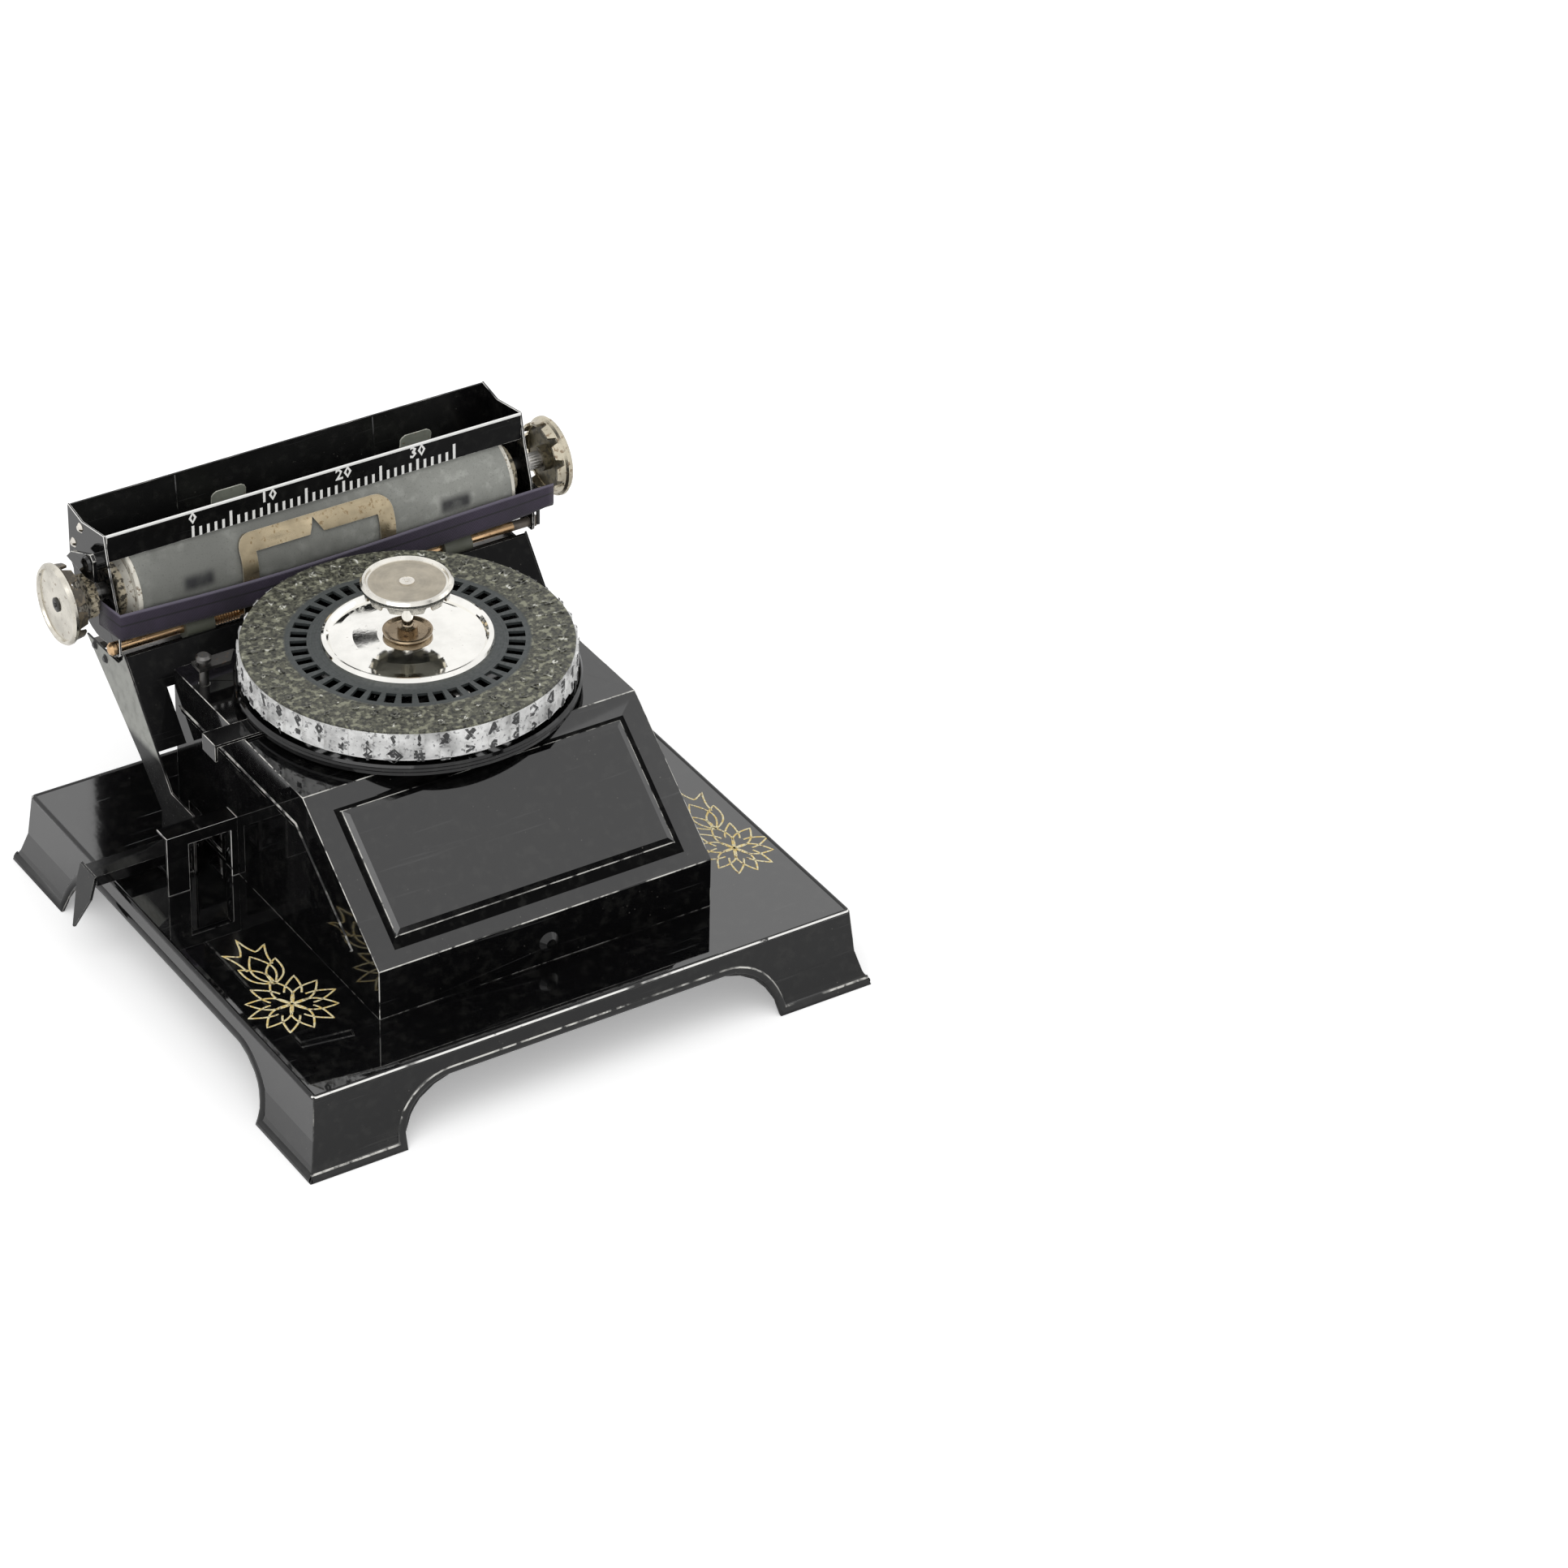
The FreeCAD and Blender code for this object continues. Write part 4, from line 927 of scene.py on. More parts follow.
# ------------------------------------------------------------------ meshes
def mesh_object(name: str, shape: tuple, finish: Finish, unit: Unit, smooth: bool = True,
                second: Finish | None = None, where: np.ndarray | None = None) -> bpy.types.Object:
    """Put a mesh into the scene and let it ride on a body.

    Args:
        name: the piece's name.
        shape: corner places in millimetres, one row each, and rows or lists of corner numbers.
        finish: the surface finish.
        unit: the body that carries the piece.
        smooth: whether the faces are shaded smoothly.
        second: the finish of some of the faces.
        where: which faces have it, one truth value each.

    Returns:
        The new object.
    """
    points, faces = shape
    mesh = bpy.data.meshes.new(name)
    mesh.from_pydata((np.asarray(points, float) * MM).tolist(), [], [list(map(int, f)) for f in faces])
    mesh.validate()
    mesh.polygons.foreach_set("use_smooth", np.full(len(mesh.polygons), smooth))
    mesh.update()
    mesh.materials.append(finish.material())
    if second is not None:
        mesh.materials.append(second.material())
        mesh.polygons.foreach_set("material_index", np.asarray(where, dtype=np.int32))
    piece = bpy.data.objects.new(name, mesh)
    bpy.context.scene.collection.objects.link(piece)
    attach(piece, unit.value)
    LOG.info("%s: %d faces on %s", name, len(mesh.polygons), unit.value)
    return piece


def grid_faces(rows: int, columns: int, wrap_rows: bool = False, wrap_columns: bool = False) -> np.ndarray:
    """Return the four-cornered faces of a grid of rows by columns points, numbered row by row.

    Args:
        rows: points along the first parameter.
        columns: points along the second parameter.
        wrap_rows: whether the last row joins the first.
        wrap_columns: whether the last column joins the first.

    Returns:
        One row of four corner numbers for each face.
    """
    i, j = np.meshgrid(np.arange(rows if wrap_rows else rows - 1),
                       np.arange(columns if wrap_columns else columns - 1), indexing="ij")
    i, j = i.ravel(), j.ravel()
    up, right = (i + 1) % rows, (j + 1) % columns
    return np.stack([i * columns + j, i * columns + right, up * columns + right, up * columns + j], axis=1)


def strip(columns: int, rows: int, first: int) -> np.ndarray:
    """Return which faces of a grid lie in a strip two faces wide, from the column first on."""
    number = np.tile(np.arange(columns), rows)
    return (number >= first) & (number < first + 2)


def unit_rows(rows: np.ndarray) -> np.ndarray:
    """Return vectors, one a row, at length 1."""
    return rows / np.linalg.norm(rows, axis=1, keepdims=True)


def tube(path: np.ndarray, radius: float, sides: int = 8, closed: bool = False, flat: float = 1.0) -> tuple:
    """Carry a circle along a path.

    At each point the circle stands across the path's direction d, on the unit vectors n = up x d and
    b = d x n, where up is +Z, or +Y where the path runs up. flat presses the circle along b.

    Args:
        path: points in millimetres, one row each.
        radius: the tube's radius in millimetres.
        sides: corners of the circle.
        closed: whether the path's end joins its start.
        flat: the share of the radius that is kept along b.

    Returns:
        The points and the faces.
    """
    path = np.asarray(path, float)
    if closed:
        along = np.roll(path, -1, axis=0) - np.roll(path, 1, axis=0)
    else:
        along = np.gradient(path, axis=0)
    along = unit_rows(along)
    steep = np.abs(along[:, 2:3]) > 0.95
    side = unit_rows(np.cross(np.where(steep, [[0.0, 1.0, 0.0]], [[0.0, 0.0, 1.0]]), along))
    rise = np.cross(along, side)
    turn = np.linspace(0.0, ROUND, sides, endpoint=False)
    ring = (path[:, None, :] + radius * np.cos(turn)[None, :, None] * side[:, None, :]
            + radius * flat * np.sin(turn)[None, :, None] * rise[:, None, :])
    faces = grid_faces(len(path), sides, closed, True).tolist()
    if not closed:
        last = (len(path) - 1) * sides
        faces += [list(range(sides))[::-1], list(range(last, last + sides))]
    return ring.reshape(-1, 3), faces


def joined(parts: Sequence[tuple]) -> tuple:
    """Put several shapes together.

    Args:
        parts: the points and faces of each.

    Returns:
        The points and faces of all.
    """
    faces, start = [], 0
    for points, some_faces in parts:
        faces += [[int(corner) + start for corner in face] for face in some_faces]
        start += len(points)
    return np.concatenate([np.asarray(points, float) for points, _ in parts]), faces


def blocks(low: np.ndarray, high: np.ndarray) -> tuple:
    """Make boxes.

    Args:
        low: their lowest corners, one row each.
        high: their highest corners.

    Returns:
        The points and the faces.
    """
    low, high = np.atleast_2d(low).astype(float), np.atleast_2d(high).astype(float)
    pick = np.array([[0, 0, 0], [1, 0, 0], [1, 1, 0], [0, 1, 0], [0, 0, 1], [1, 0, 1], [1, 1, 1], [0, 1, 1]])
    one = np.array([[0, 3, 2, 1], [4, 5, 6, 7], [0, 1, 5, 4], [1, 2, 6, 5], [2, 3, 7, 6], [3, 0, 4, 7]])
    faces = (one[None] + len(pick) * np.arange(len(low))[:, None, None]).reshape(-1, 4)
    return np.where(pick[None], high[:, None], low[:, None]).reshape(-1, 3), faces


GLYPHS: dict[tuple, tuple] = {}
CAPITAL = 0.69  # height of a capital letter at letter size 1
LETTER_MIDDLE = 0.34  # how high its middle is taken


def glyph(character: str, height: float, depth: float, bold: float = 0.024) -> tuple:
    """Make a raised character.

    It is centred on the origin in X and Y, its foot on Z = 0, with capital letters as high as height.

    Args:
        character: the letter or figure.
        height: its height in millimetres.
        depth: how far it stands up, in millimetres.
        bold: how far its outline is pushed out, as a share of the letter size.

    Returns:
        The points and the faces.
    """
    if (character, bold) not in GLYPHS:
        curve = bpy.data.curves.new("glyph", "FONT")
        curve.body, curve.size, curve.extrude, curve.resolution_u = character, 1.0, 0.5, 1
        curve.offset = bold
        holder = bpy.data.objects.new("glyph", curve)
        bpy.context.scene.collection.objects.link(holder)
        shape = holder.evaluated_get(bpy.context.evaluated_depsgraph_get())
        bpy.context.view_layer.update()
        mesh = bpy.data.meshes.new_from_object(shape)
        points = np.empty(len(mesh.vertices) * 3)
        mesh.vertices.foreach_get("co", points)
        points = points.reshape(-1, 3)
        faces = [list(p.vertices) for p in mesh.polygons]
        bpy.data.objects.remove(holder)
        bpy.data.curves.remove(curve)
        bpy.data.meshes.remove(mesh)
        middle = (points.min(axis=0) + points.max(axis=0)) / 2.0
        GLYPHS[character, bold] = (points - [middle[0], LETTER_MIDDLE, 0.0], faces)
    points, faces = GLYPHS[character, bold]
    scale = height / CAPITAL
    return points * [scale, scale, depth] + [0.0, 0.0, depth / 2.0], faces


def placed(shape: tuple, matrix: Matrix) -> tuple:
    """Carry a shape by a matrix, with its faces turned round where that mirrors it.

    Args:
        shape: the points and the faces.
        matrix: where it goes.

    Returns:
        The new points and faces.
    """
    points, faces = shape
    turn = np.array(matrix.to_3x3())
    if np.linalg.det(turn) < 0:
        faces = [list(face)[::-1] for face in faces]
    return points @ turn.T + np.array(matrix.translation), faces


def node_box(name: str) -> tuple:
    """Return a node's lowest and highest corners in millimetres."""
    low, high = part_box(name)
    return np.array(low) / MM, np.array(high) / MM


# ------------------------------------------------------------------ the stage
@dataclass
class Studio:
    """Camera, floor, sky and lamps.

    Attributes:
        azimuth: the camera's direction round the object, in degrees.
        elevation: its angle above the floor, in degrees.
        roll: its turn about its own axis, in degrees.
        distance: from the aim point to the camera, in millimetres.
        aim: the point that the camera looks at, as shifts along its right and up axes, in millimetres.
        focus: the focal length in image widths.
        depth_shift: from the origin of the aim to the base's middle along Y, in millimetres.
        sensor: the sensor's width in millimetres.
        sight: how far the camera sees, in metres.
        sky: strength of the sky's plain light.
        floor: half the floor's width, in metres.
        cards: two opposite corners of each dark card that only shows in the lacquer, in metres.
        lamps: name, place in metres, width in metres and power in watts of each lamp.
        target: the point that the lamps look at, in metres.
    """

    azimuth: float = -33.258
    elevation: float = 34.039
    roll: float = 1.498
    distance: float = 1958.399
    aim: tuple = (63.458, 92.884)
    focus: float = 7472.547 / 1932.0
    depth_shift: float = 98.0
    sensor: float = 36.0
    sight: float = 20.0
    sky: float = 0.74
    floor: float = 9.0
    cards: tuple = (((1.303, 3.0, 2.13), (1.50, 3.0, 2.39)), ((-1.86, 3.0, 2.05), (-1.36, 3.0, 2.70)),
                    ((1.50, -3.0, 2.10), (2.05, -3.0, 2.80)))
    lamps: tuple = (("key_lamp", (-1.0, -0.7, 1.9), 1.8, 13.0), ("fill_lamp", (1.7, -0.3, 1.3), 1.6, 4.0))
    target: tuple = (0.0, 0.0, 0.08)

    def camera(self) -> None:
        """Place the camera from its angles: back, right and up are its own axes."""
        az, el, roll = (math.radians(v) for v in (self.azimuth, self.elevation, self.roll))
        back = Vector((math.sin(az) * math.cos(el), -math.cos(az) * math.cos(el), math.sin(el)))
        right = Vector((0, 0, 1)).cross(back).normalized()
        up = back.cross(right)
        level = right * math.cos(roll) + up * math.sin(roll)
        rise = up * math.cos(roll) - right * math.sin(roll)
        aimed = level * self.aim[0] + rise * self.aim[1] - Vector((0, self.depth_shift, 0))
        data = bpy.data.cameras.new("camera")
        data.sensor_width = self.sensor
        data.lens = self.focus * self.sensor
        data.clip_end = self.sight
        eye = bpy.data.objects.new("camera", data)
        eye.matrix_world = Matrix((level, rise, back)).transposed().to_4x4()
        eye.matrix_world.translation = (back * self.distance + aimed) * MM
        bpy.context.scene.collection.objects.link(eye)
        bpy.context.scene.camera = eye

    def backdrop(self) -> None:
        """Make the sky: white where it is seen or mirrored, and a plain grey light elsewhere."""
        world = bpy.data.worlds.new("studio_sky")
        bpy.context.scene.world = world
        world.use_nodes = True
        graph = Graph(world.node_tree)
        rays = graph.add("ShaderNodeLightPath").outputs
        seen = graph.math("MAXIMUM", rays["Is Camera Ray"], rays["Is Glossy Ray"])
        seen = graph.math("MAXIMUM", seen, rays["Is Transmission Ray"])
        strength = graph.plus(graph.times(seen, 1.0 - self.sky), self.sky)
        graph.fill(world.node_tree.nodes["Background"], {"Color": WHITE, "Strength": strength})

    def board(self, name: str, corners: list, paint: Backing, mirrored_only: bool) -> None:
        """Put up a flat board.

        Args:
            name: its name.
            corners: its four corners, in metres.
            paint: its paint.
            mirrored_only: whether only mirrored rays meet it.
        """
        mesh = bpy.data.meshes.new(name)
        mesh.from_pydata(corners, [], [(0, 1, 2, 3)])
        mesh.materials.append(paint.material())
        board = bpy.data.objects.new(name, mesh)
        for ray in ("camera", "diffuse", "shadow", "transmission"):
            setattr(board, "visible_" + ray, not mirrored_only)
        bpy.context.scene.collection.objects.link(board)

    def lamp(self, name: str, place: tuple, width: float, power: float) -> None:
        """Hang a square soft lamp that points at the machine.

        Args:
            name: the lamp's name.
            place: where it hangs, in metres.
            width: its side, in metres.
            power: its power in watts.
        """
        data = bpy.data.lights.new(name, "AREA")
        data.size, data.energy = width, power
        light = bpy.data.objects.new(name, data)
        spot = Vector(place)
        light.matrix_world = (Vector(self.target) - spot).to_track_quat("-Z", "Y").to_matrix().to_4x4()
        light.matrix_world.translation = spot
        bpy.context.scene.collection.objects.link(light)

    def build(self) -> None:
        """Set the whole stage."""
        for name in ("Cube", "Light", "Camera"):
            if name in bpy.data.objects:
                bpy.data.objects.remove(bpy.data.objects[name])
        bpy.context.scene.view_settings.view_transform = "Standard"
        self.camera()
        self.backdrop()
        signs = ((-1, -1), (1, -1), (1, 1), (-1, 1))
        self.board("floor", [(a * self.floor, b * self.floor, 0) for a, b in signs], FLOOR_PAINT, False)
        for k, ((x0, y, z0), (x1, _, z1)) in enumerate(self.cards):
            self.board(f"dark_card_{k}", [(x0, y, z0), (x1, y, z0), (x1, y, z1), (x0, y, z1)],
                       CARD_PAINT, True)
        for lamp in self.lamps:
            self.lamp(*lamp)


# ------------------------------------------------------------------ the machine
@dataclass
class CadDress:
    """Gives every CAD node its finish, and rounds the sharp edges of the pressed and cut sheets.

    Attributes:
        rounding: node name to the radius of its edges, in millimetres.
        broad: from which radius on an edge the brighter painted highlight line is used.
        merge: how near two corners are merged, in metres.
        sharp: from which angle on an edge is rounded, in degrees.
    """

    rounding: dict = field(default_factory=lambda: {
        "base_tray": 0.28, "housing": 0.24, "lever_guard": 0.18, "support_side_left": 0.18,
        "support_side_right": 0.18, "support_web": 0.18, "end_plate_left": 0.2, "end_plate_right": 0.2,
        "carriage_back": 0.16, "ruler_bar": 0.2, "print_lever": 0.2, "shift_slide": 0.2, "line_pawl": 0.25,
        "aligner_frame": 0.12, "paper_fingers": 0.1, "rail_shoes": 0.15, "ribbon_clip_right": 0.15})
    broad: float = 0.2
    merge: float = 2e-6
    sharp: float = 32.0

    def build(self) -> None:
        """Dress the nodes."""
        slots = {part["node"]: part["material_slot"] for part in frame["record"]["subparts"]}
        for name, piece in frame["nodes"].items():
            finish = NODE_FINISH.get(name, SLOT_FINISH[slots[name]])
            piece.data.materials.clear()
            piece.data.materials.append(finish.material())
            if name in self.rounding:
                self.soften(piece, self.rounding[name])

    def soften(self, piece: bpy.types.Object, radius: float) -> None:
        """Round a node's edges with live modifiers and give them an edge finish of painted highlight and
        wear.

        Args:
            piece: the node's object.
            radius: the edge's radius in millimetres.
        """
        weld = piece.modifiers.new("weld", "WELD")
        weld.merge_threshold = self.merge
        bevel = piece.modifiers.new("edge", "BEVEL")
        bevel.width = radius * MM
        bevel.segments = 2
        bevel.limit_method = "ANGLE"
        bevel.angle_limit = math.radians(self.sharp)
        bevel.use_clamp_overlap = True
        bevel.harden_normals = True
        # The rounded edges take painted highlight lines, mixed with wear.
        edge = BLACK_EDGE if radius >= self.broad else SMALL_EDGE
        piece.data.materials.append(EDGE_FINISH.get(piece.name, edge).material())
        bevel.material = 1


@dataclass
class Base:
    """The lacquered tray: the beads along its edges and the gold ornaments on its top.

    Attributes:
        half: half the top's width along X and along Y, in millimetres.
        flare: how far the skirts stand out at heights above the desk: rows of (height, share).
        feet: half the width between the feet, along X and along Y.
        arch: how far the arch reaches in from a foot, and how high it rises.
        tip: what share of the flare's reach the lower edge covers at its ends.
        bead: half the width of the rolled lower edge, in millimetres.
        swell: how far it stands out.
        sink: how far its middle line lies behind the skirt's face.
        rim: radius of the bead along the top's edge, in millimetres.
        proud: how far that bead stands out.
        corner: radius of its path at the corners.
        rubbed_from: how far out along Y it carries a painted highlight line with wear.
        flowers: (X, Y, half width) of the two flowers.
        depth: half depth of a flower along Y.
        petals: petals in each of a flower's two rows.
        bud: how far a bud stands behind its flower's middle, along X and along Y.
        line: half the width of the gold lines.
        sides: corners of a bead's section.
    """

    half: tuple = (100.0, 98.0)
    flare: tuple = ((0.0, 1.0), (4.5, 0.62), (12.0, 0.26), (27.8, 0.0))
    feet: tuple = (70.0, 68.0)
    arch: tuple = (19.0, 19.5)
    tip: float = 0.86
    bead: float = 1.5
    swell: float = 0.75
    sink: float = 0.15
    rim: float = 0.95
    proud: float = 0.32
    corner: float = 0.6
    rubbed_from: float = 95.0
    flowers: tuple = ((-81.7, -50.6, 15.8), (86.4, -48.4, 13.0))
    depth: float = 15.4
    petals: int = 6
    bud: tuple = (0.6, 12.628)
    line: float = 0.38
    sides: int = 18

    def petal(self, angle: float, length: float, width: float, start: float = 0.0) -> np.ndarray:
        """Draw a petal's outline from the origin: at the share s of its length, width sin(pi s^0.9) wide.

        Args:
            angle: its direction, in radians.
            length: its length.
            width: its greatest width.
            start: the share of its length at which the line starts and ends.

        Returns:
            Rows of (x, y), up one side and down the other.
        """
        share = np.concatenate([np.linspace(start, 1.0, 13), np.linspace(1.0, start, 13)[1:]])
        side = np.concatenate([np.ones(13), -np.ones(12)])
        across = side * width * 0.5 * np.sin(math.pi * share ** 0.9)
        return np.stack([length * share * math.cos(angle) - across * math.sin(angle),
                         length * share * math.sin(angle) + across * math.cos(angle)], axis=1)

    def flower_lines(self) -> list:
        """Draw a flower in a circle of radius 1: a row of whole petals and the tips of one behind.

        Returns:
            Its lines.
        """
        step = ROUND / self.petals
        whole = [self.petal(QUARTER + k * step, 0.95, 0.40) for k in range(self.petals)]
        return whole + [self.petal(QUARTER + (k + 0.5) * step, 1.0, 0.36, 0.40) for k in range(self.petals)]

    def bud_lines(self) -> list:
        """Draw a bud: three petals from the origin and a crown of three points with hollow sides.

        Returns:
            Its lines in millimetres.
        """
        petals = [self.petal(QUARTER + lean, length, width)
                  for lean, length, width in ((0.0, 17.0, 7.5), (0.50, 14.0, 5.6), (-0.50, 14.0, 5.6))]
        corners = np.array([(-4.6, 10.0), (-7.6, 22.0), (-2.6, 18.5), (0.4, 27.5), (2.8, 18.5), (7.4, 21.0),
                            (4.6, 10.0)])
        share = np.linspace(0.0, 1.0, 7)[:-1, None]
        sides = []
        for a, b in zip(corners[:-1], corners[1:]):
            hollow = np.array([0.0, 14.0]) - (a + b) / 2.0
            sides.append(a + (b - a) * share + 0.12 * np.sin(math.pi * share) * hollow)
        return petals + [np.concatenate(sides + [corners[-1:]])]

    def ornament(self, name: str, centre: tuple) -> None:
        """Draw a flower and the bud behind it as raised gold lines.

        Args:
            name: the piece's name.
            centre: the flower's X, Y and half width.
        """
        top = node_box("base_tray")[1][2] + SKIN
        x, y, half = centre
        lines = [line * [half, self.depth] + [x, y] for line in self.flower_lines()]
        lines += [line + [x + self.bud[0], y + self.bud[1]] for line in self.bud_lines()]
        parts = [tube(np.column_stack([line, np.full(len(line), top)]), self.line, 6, flat=0.2)
                 for line in lines]
        mesh_object(name, joined(parts), GOLD_LEAF, Unit.FRAME)

    def top_bead(self) -> None:
        """Carry a bead round the top's edge, with a quarter turn at each corner.

        A strip of it half way between up and outward is painted bright in front and behind, a painted
        highlight with wear.
        """
        inset = self.rim - self.proud
        turn = np.linspace(0.0, QUARTER, 5)
        rows = []
        for k, signs in enumerate(((1, 1), (-1, 1), (-1, -1), (1, -1))):
            angle = turn + k * QUARTER
            middle = np.array(signs) * (np.array(self.half) - inset - self.corner)
            rows.append(middle + self.corner * np.stack([np.cos(angle), np.sin(angle)], axis=1))
        path = np.concatenate(rows)
        height = node_box("base_tray")[1][2] - inset
        shape = tube(np.column_stack([path, np.full(len(path), height)]), self.rim, self.sides, closed=True)
        # The front and rear stretch of the bead's upper shoulder is a painted highlight line.
        rubbed = strip(self.sides, len(path), round(self.sides * 0.33))
        outer = np.abs(path[:, 1] + np.roll(path[:, 1], -1)) > 2.0 * self.rubbed_from
        mesh_object("base_top_bead", shape, BLACK, Unit.FRAME, second=WHITE_EDGE,
                    where=rubbed & np.repeat(outer, self.sides))

    def rolled_strip(self, edge: np.ndarray, outward: np.ndarray) -> tuple:
        """Lay a flat bead along an edge line of a skirt, and mark the faces of its painted highlight line.

        At each corner of the line the bead's middle lies half its width away from the line, on the bisector
        of the two neighbouring normals. Across it the bead is half an ellipse: at the angle a it stands out
        by swell sin a and lies bead cos a from its middle.

        Args:
            edge: points of the edge line, the skirt on the left of its direction as seen from outside.
            outward: the skirt's outward direction.

        Returns:
            The points, the faces and a truth value for each face.
        """
        normal = unit_rows(np.cross(outward, np.diff(edge, axis=0)))
        before, after = np.vstack([normal[:1], normal]), np.vstack([normal, normal[-1:]])
        inward = before + after
        inward /= np.maximum(np.sum(inward * after, axis=1, keepdims=True), 0.8)
        middle = edge + self.bead * inward
        turn = np.linspace(-0.12 * math.pi, 1.12 * math.pi, self.sides)
        ring = (middle[:, None, :] + self.bead * np.cos(turn)[None, :, None] * inward[:, None, :]
                + self.swell * np.sin(turn)[None, :, None] * outward[None, None, :])
        return (ring.reshape(-1, 3), grid_faces(len(edge), self.sides),
                strip(self.sides - 1, len(edge) - 1, round(self.sides * 0.20)))

    def rolled_edge(self) -> None:
        """Carry a flat bead along each skirt's lower edge and over its arch.

        The arch is a quarter of an ellipse at each foot: x = foot - width (1 - cos a), z = rise sin a. The
        bead lies on the flared skirt, whose reach at the bead's own height lies on straight lines between
        the flare's rows. The bead of the front and the rear skirt has a painted highlight line.
        """
        low, high = node_box("base_tray")
        reach = high[:2] - self.half
        heights, shares = np.array(self.flare).T
        quarter = np.linspace(0.0, QUARTER, 12)
        parts, rubbed = [], []
        for run, face in ((Axis.X, Axis.Y), (Axis.Y, Axis.X)):
            arch_x = self.feet[run] - self.arch[0] * (1.0 - np.cos(quarter))
            arch_z = self.arch[1] * np.sin(quarter)
            end = self.half[run] + reach[run] * self.tip
            line = np.zeros((2 * len(quarter) + 2, 3))
            line[:, run] = np.concatenate([[-end], -arch_x, arch_x[::-1], [end]])
            line[:, Axis.Z] = np.concatenate([[0.0], arch_z, arch_z[::-1], [0.0]])
            for sign in (-1.0, 1.0):
                outward = np.zeros(3)
                outward[face] = sign
                flipped = (sign > 0.0) != (run == Axis.Y)
                points, faces, lit = self.rolled_strip(line[::-1] if flipped else line, outward)
                flared = reach[face] * np.interp(points[:, 2:3], heights, shares)
                points += outward * (self.half[face] - self.sink + flared)
                parts.append((np.clip(points, low, high), faces))
                # The front and rear beads carry a painted highlight line.
                rubbed.append(lit & (run == Axis.X))
        mesh_object("base_rolled_edge", joined(parts), BLACK, Unit.FRAME, second=BLACK_EDGE,
                    where=np.concatenate(rubbed))

    def build(self) -> None:
        """Build the base's pieces."""
        self.rolled_edge()
        self.top_bead()
        for name, centre in zip(("ornament_left", "ornament_right"), self.flowers):
            self.ornament(name, centre)


@dataclass
class NamePanel:
    """The moulding round the bare name panel on the housing's sloping front, painted as shade.

    Attributes:
        foot: (Y, Z) of the slope's lower edge.
        brow: (Y, Z) of its upper edge.
        half: half the panel's width.
        along: the panel's lowest and highest place along the slope.
        reach: how far the moulding reaches out from the panel's left, lower, right and upper side.
        tuck: how far it reaches under the panel's edge.
        height: how high it meets the panel.
        steps: points across it.
    """

    foot: tuple = (-72.6, 46.4)
    brow: tuple = (-24.0, 85.0)
    half: float = 52.5
    along: tuple = (8.5, 54.3)
    reach: tuple = (2.0, 3.9, 2.4, 1.6)
    tuck: float = 0.72
    height: float = 1.34
    steps: int = 12

    def build(self) -> None:
        """Lay a hollow moulding on the slope.

        At the share t of the way in from its outer edge it is height (1 - sqrt(1 - t^2)) high, a quarter of
        an ellipse that starts flat on the slope and ends upright at the panel.
        """
        share = np.sin(np.linspace(0.0, QUARTER, self.steps))
        left, below, right, above = (reach * (1.0 - share) - self.tuck for reach in self.reach)
        lift = SKIN + self.height * (1.0 - np.sqrt(1.0 - share ** 2))
        low, high = self.along
        x = np.stack([-self.half - left, self.half + right, self.half + right, -self.half - left], axis=1)
        v = np.stack([low - below, low - below, high + above, high + above], axis=1)
        foot, brow = np.array(self.foot), np.array(self.brow)
        way = (brow - foot) / np.linalg.norm(brow - foot)
        lift = np.broadcast_to(lift[:, None], v.shape)
        y = foot[0] + way[0] * v - way[1] * lift
        z = foot[1] + way[1] * v + way[0] * lift
        points = np.stack([x, y, z], axis=-1).reshape(-1, 3)
        # The moulding's dark lacquer is painted shade round the panel; its innermost strip is a painted
        # highlight line.
        innermost = np.arange(4 * (self.steps - 1)) >= 4 * (self.steps - 2)
        mesh_object("panel_moulding", (points, grid_faces(self.steps, 4, False, True)), MOULDING_SHADE,
                    Unit.FRAME, second=SMALL_EDGE, where=innermost)


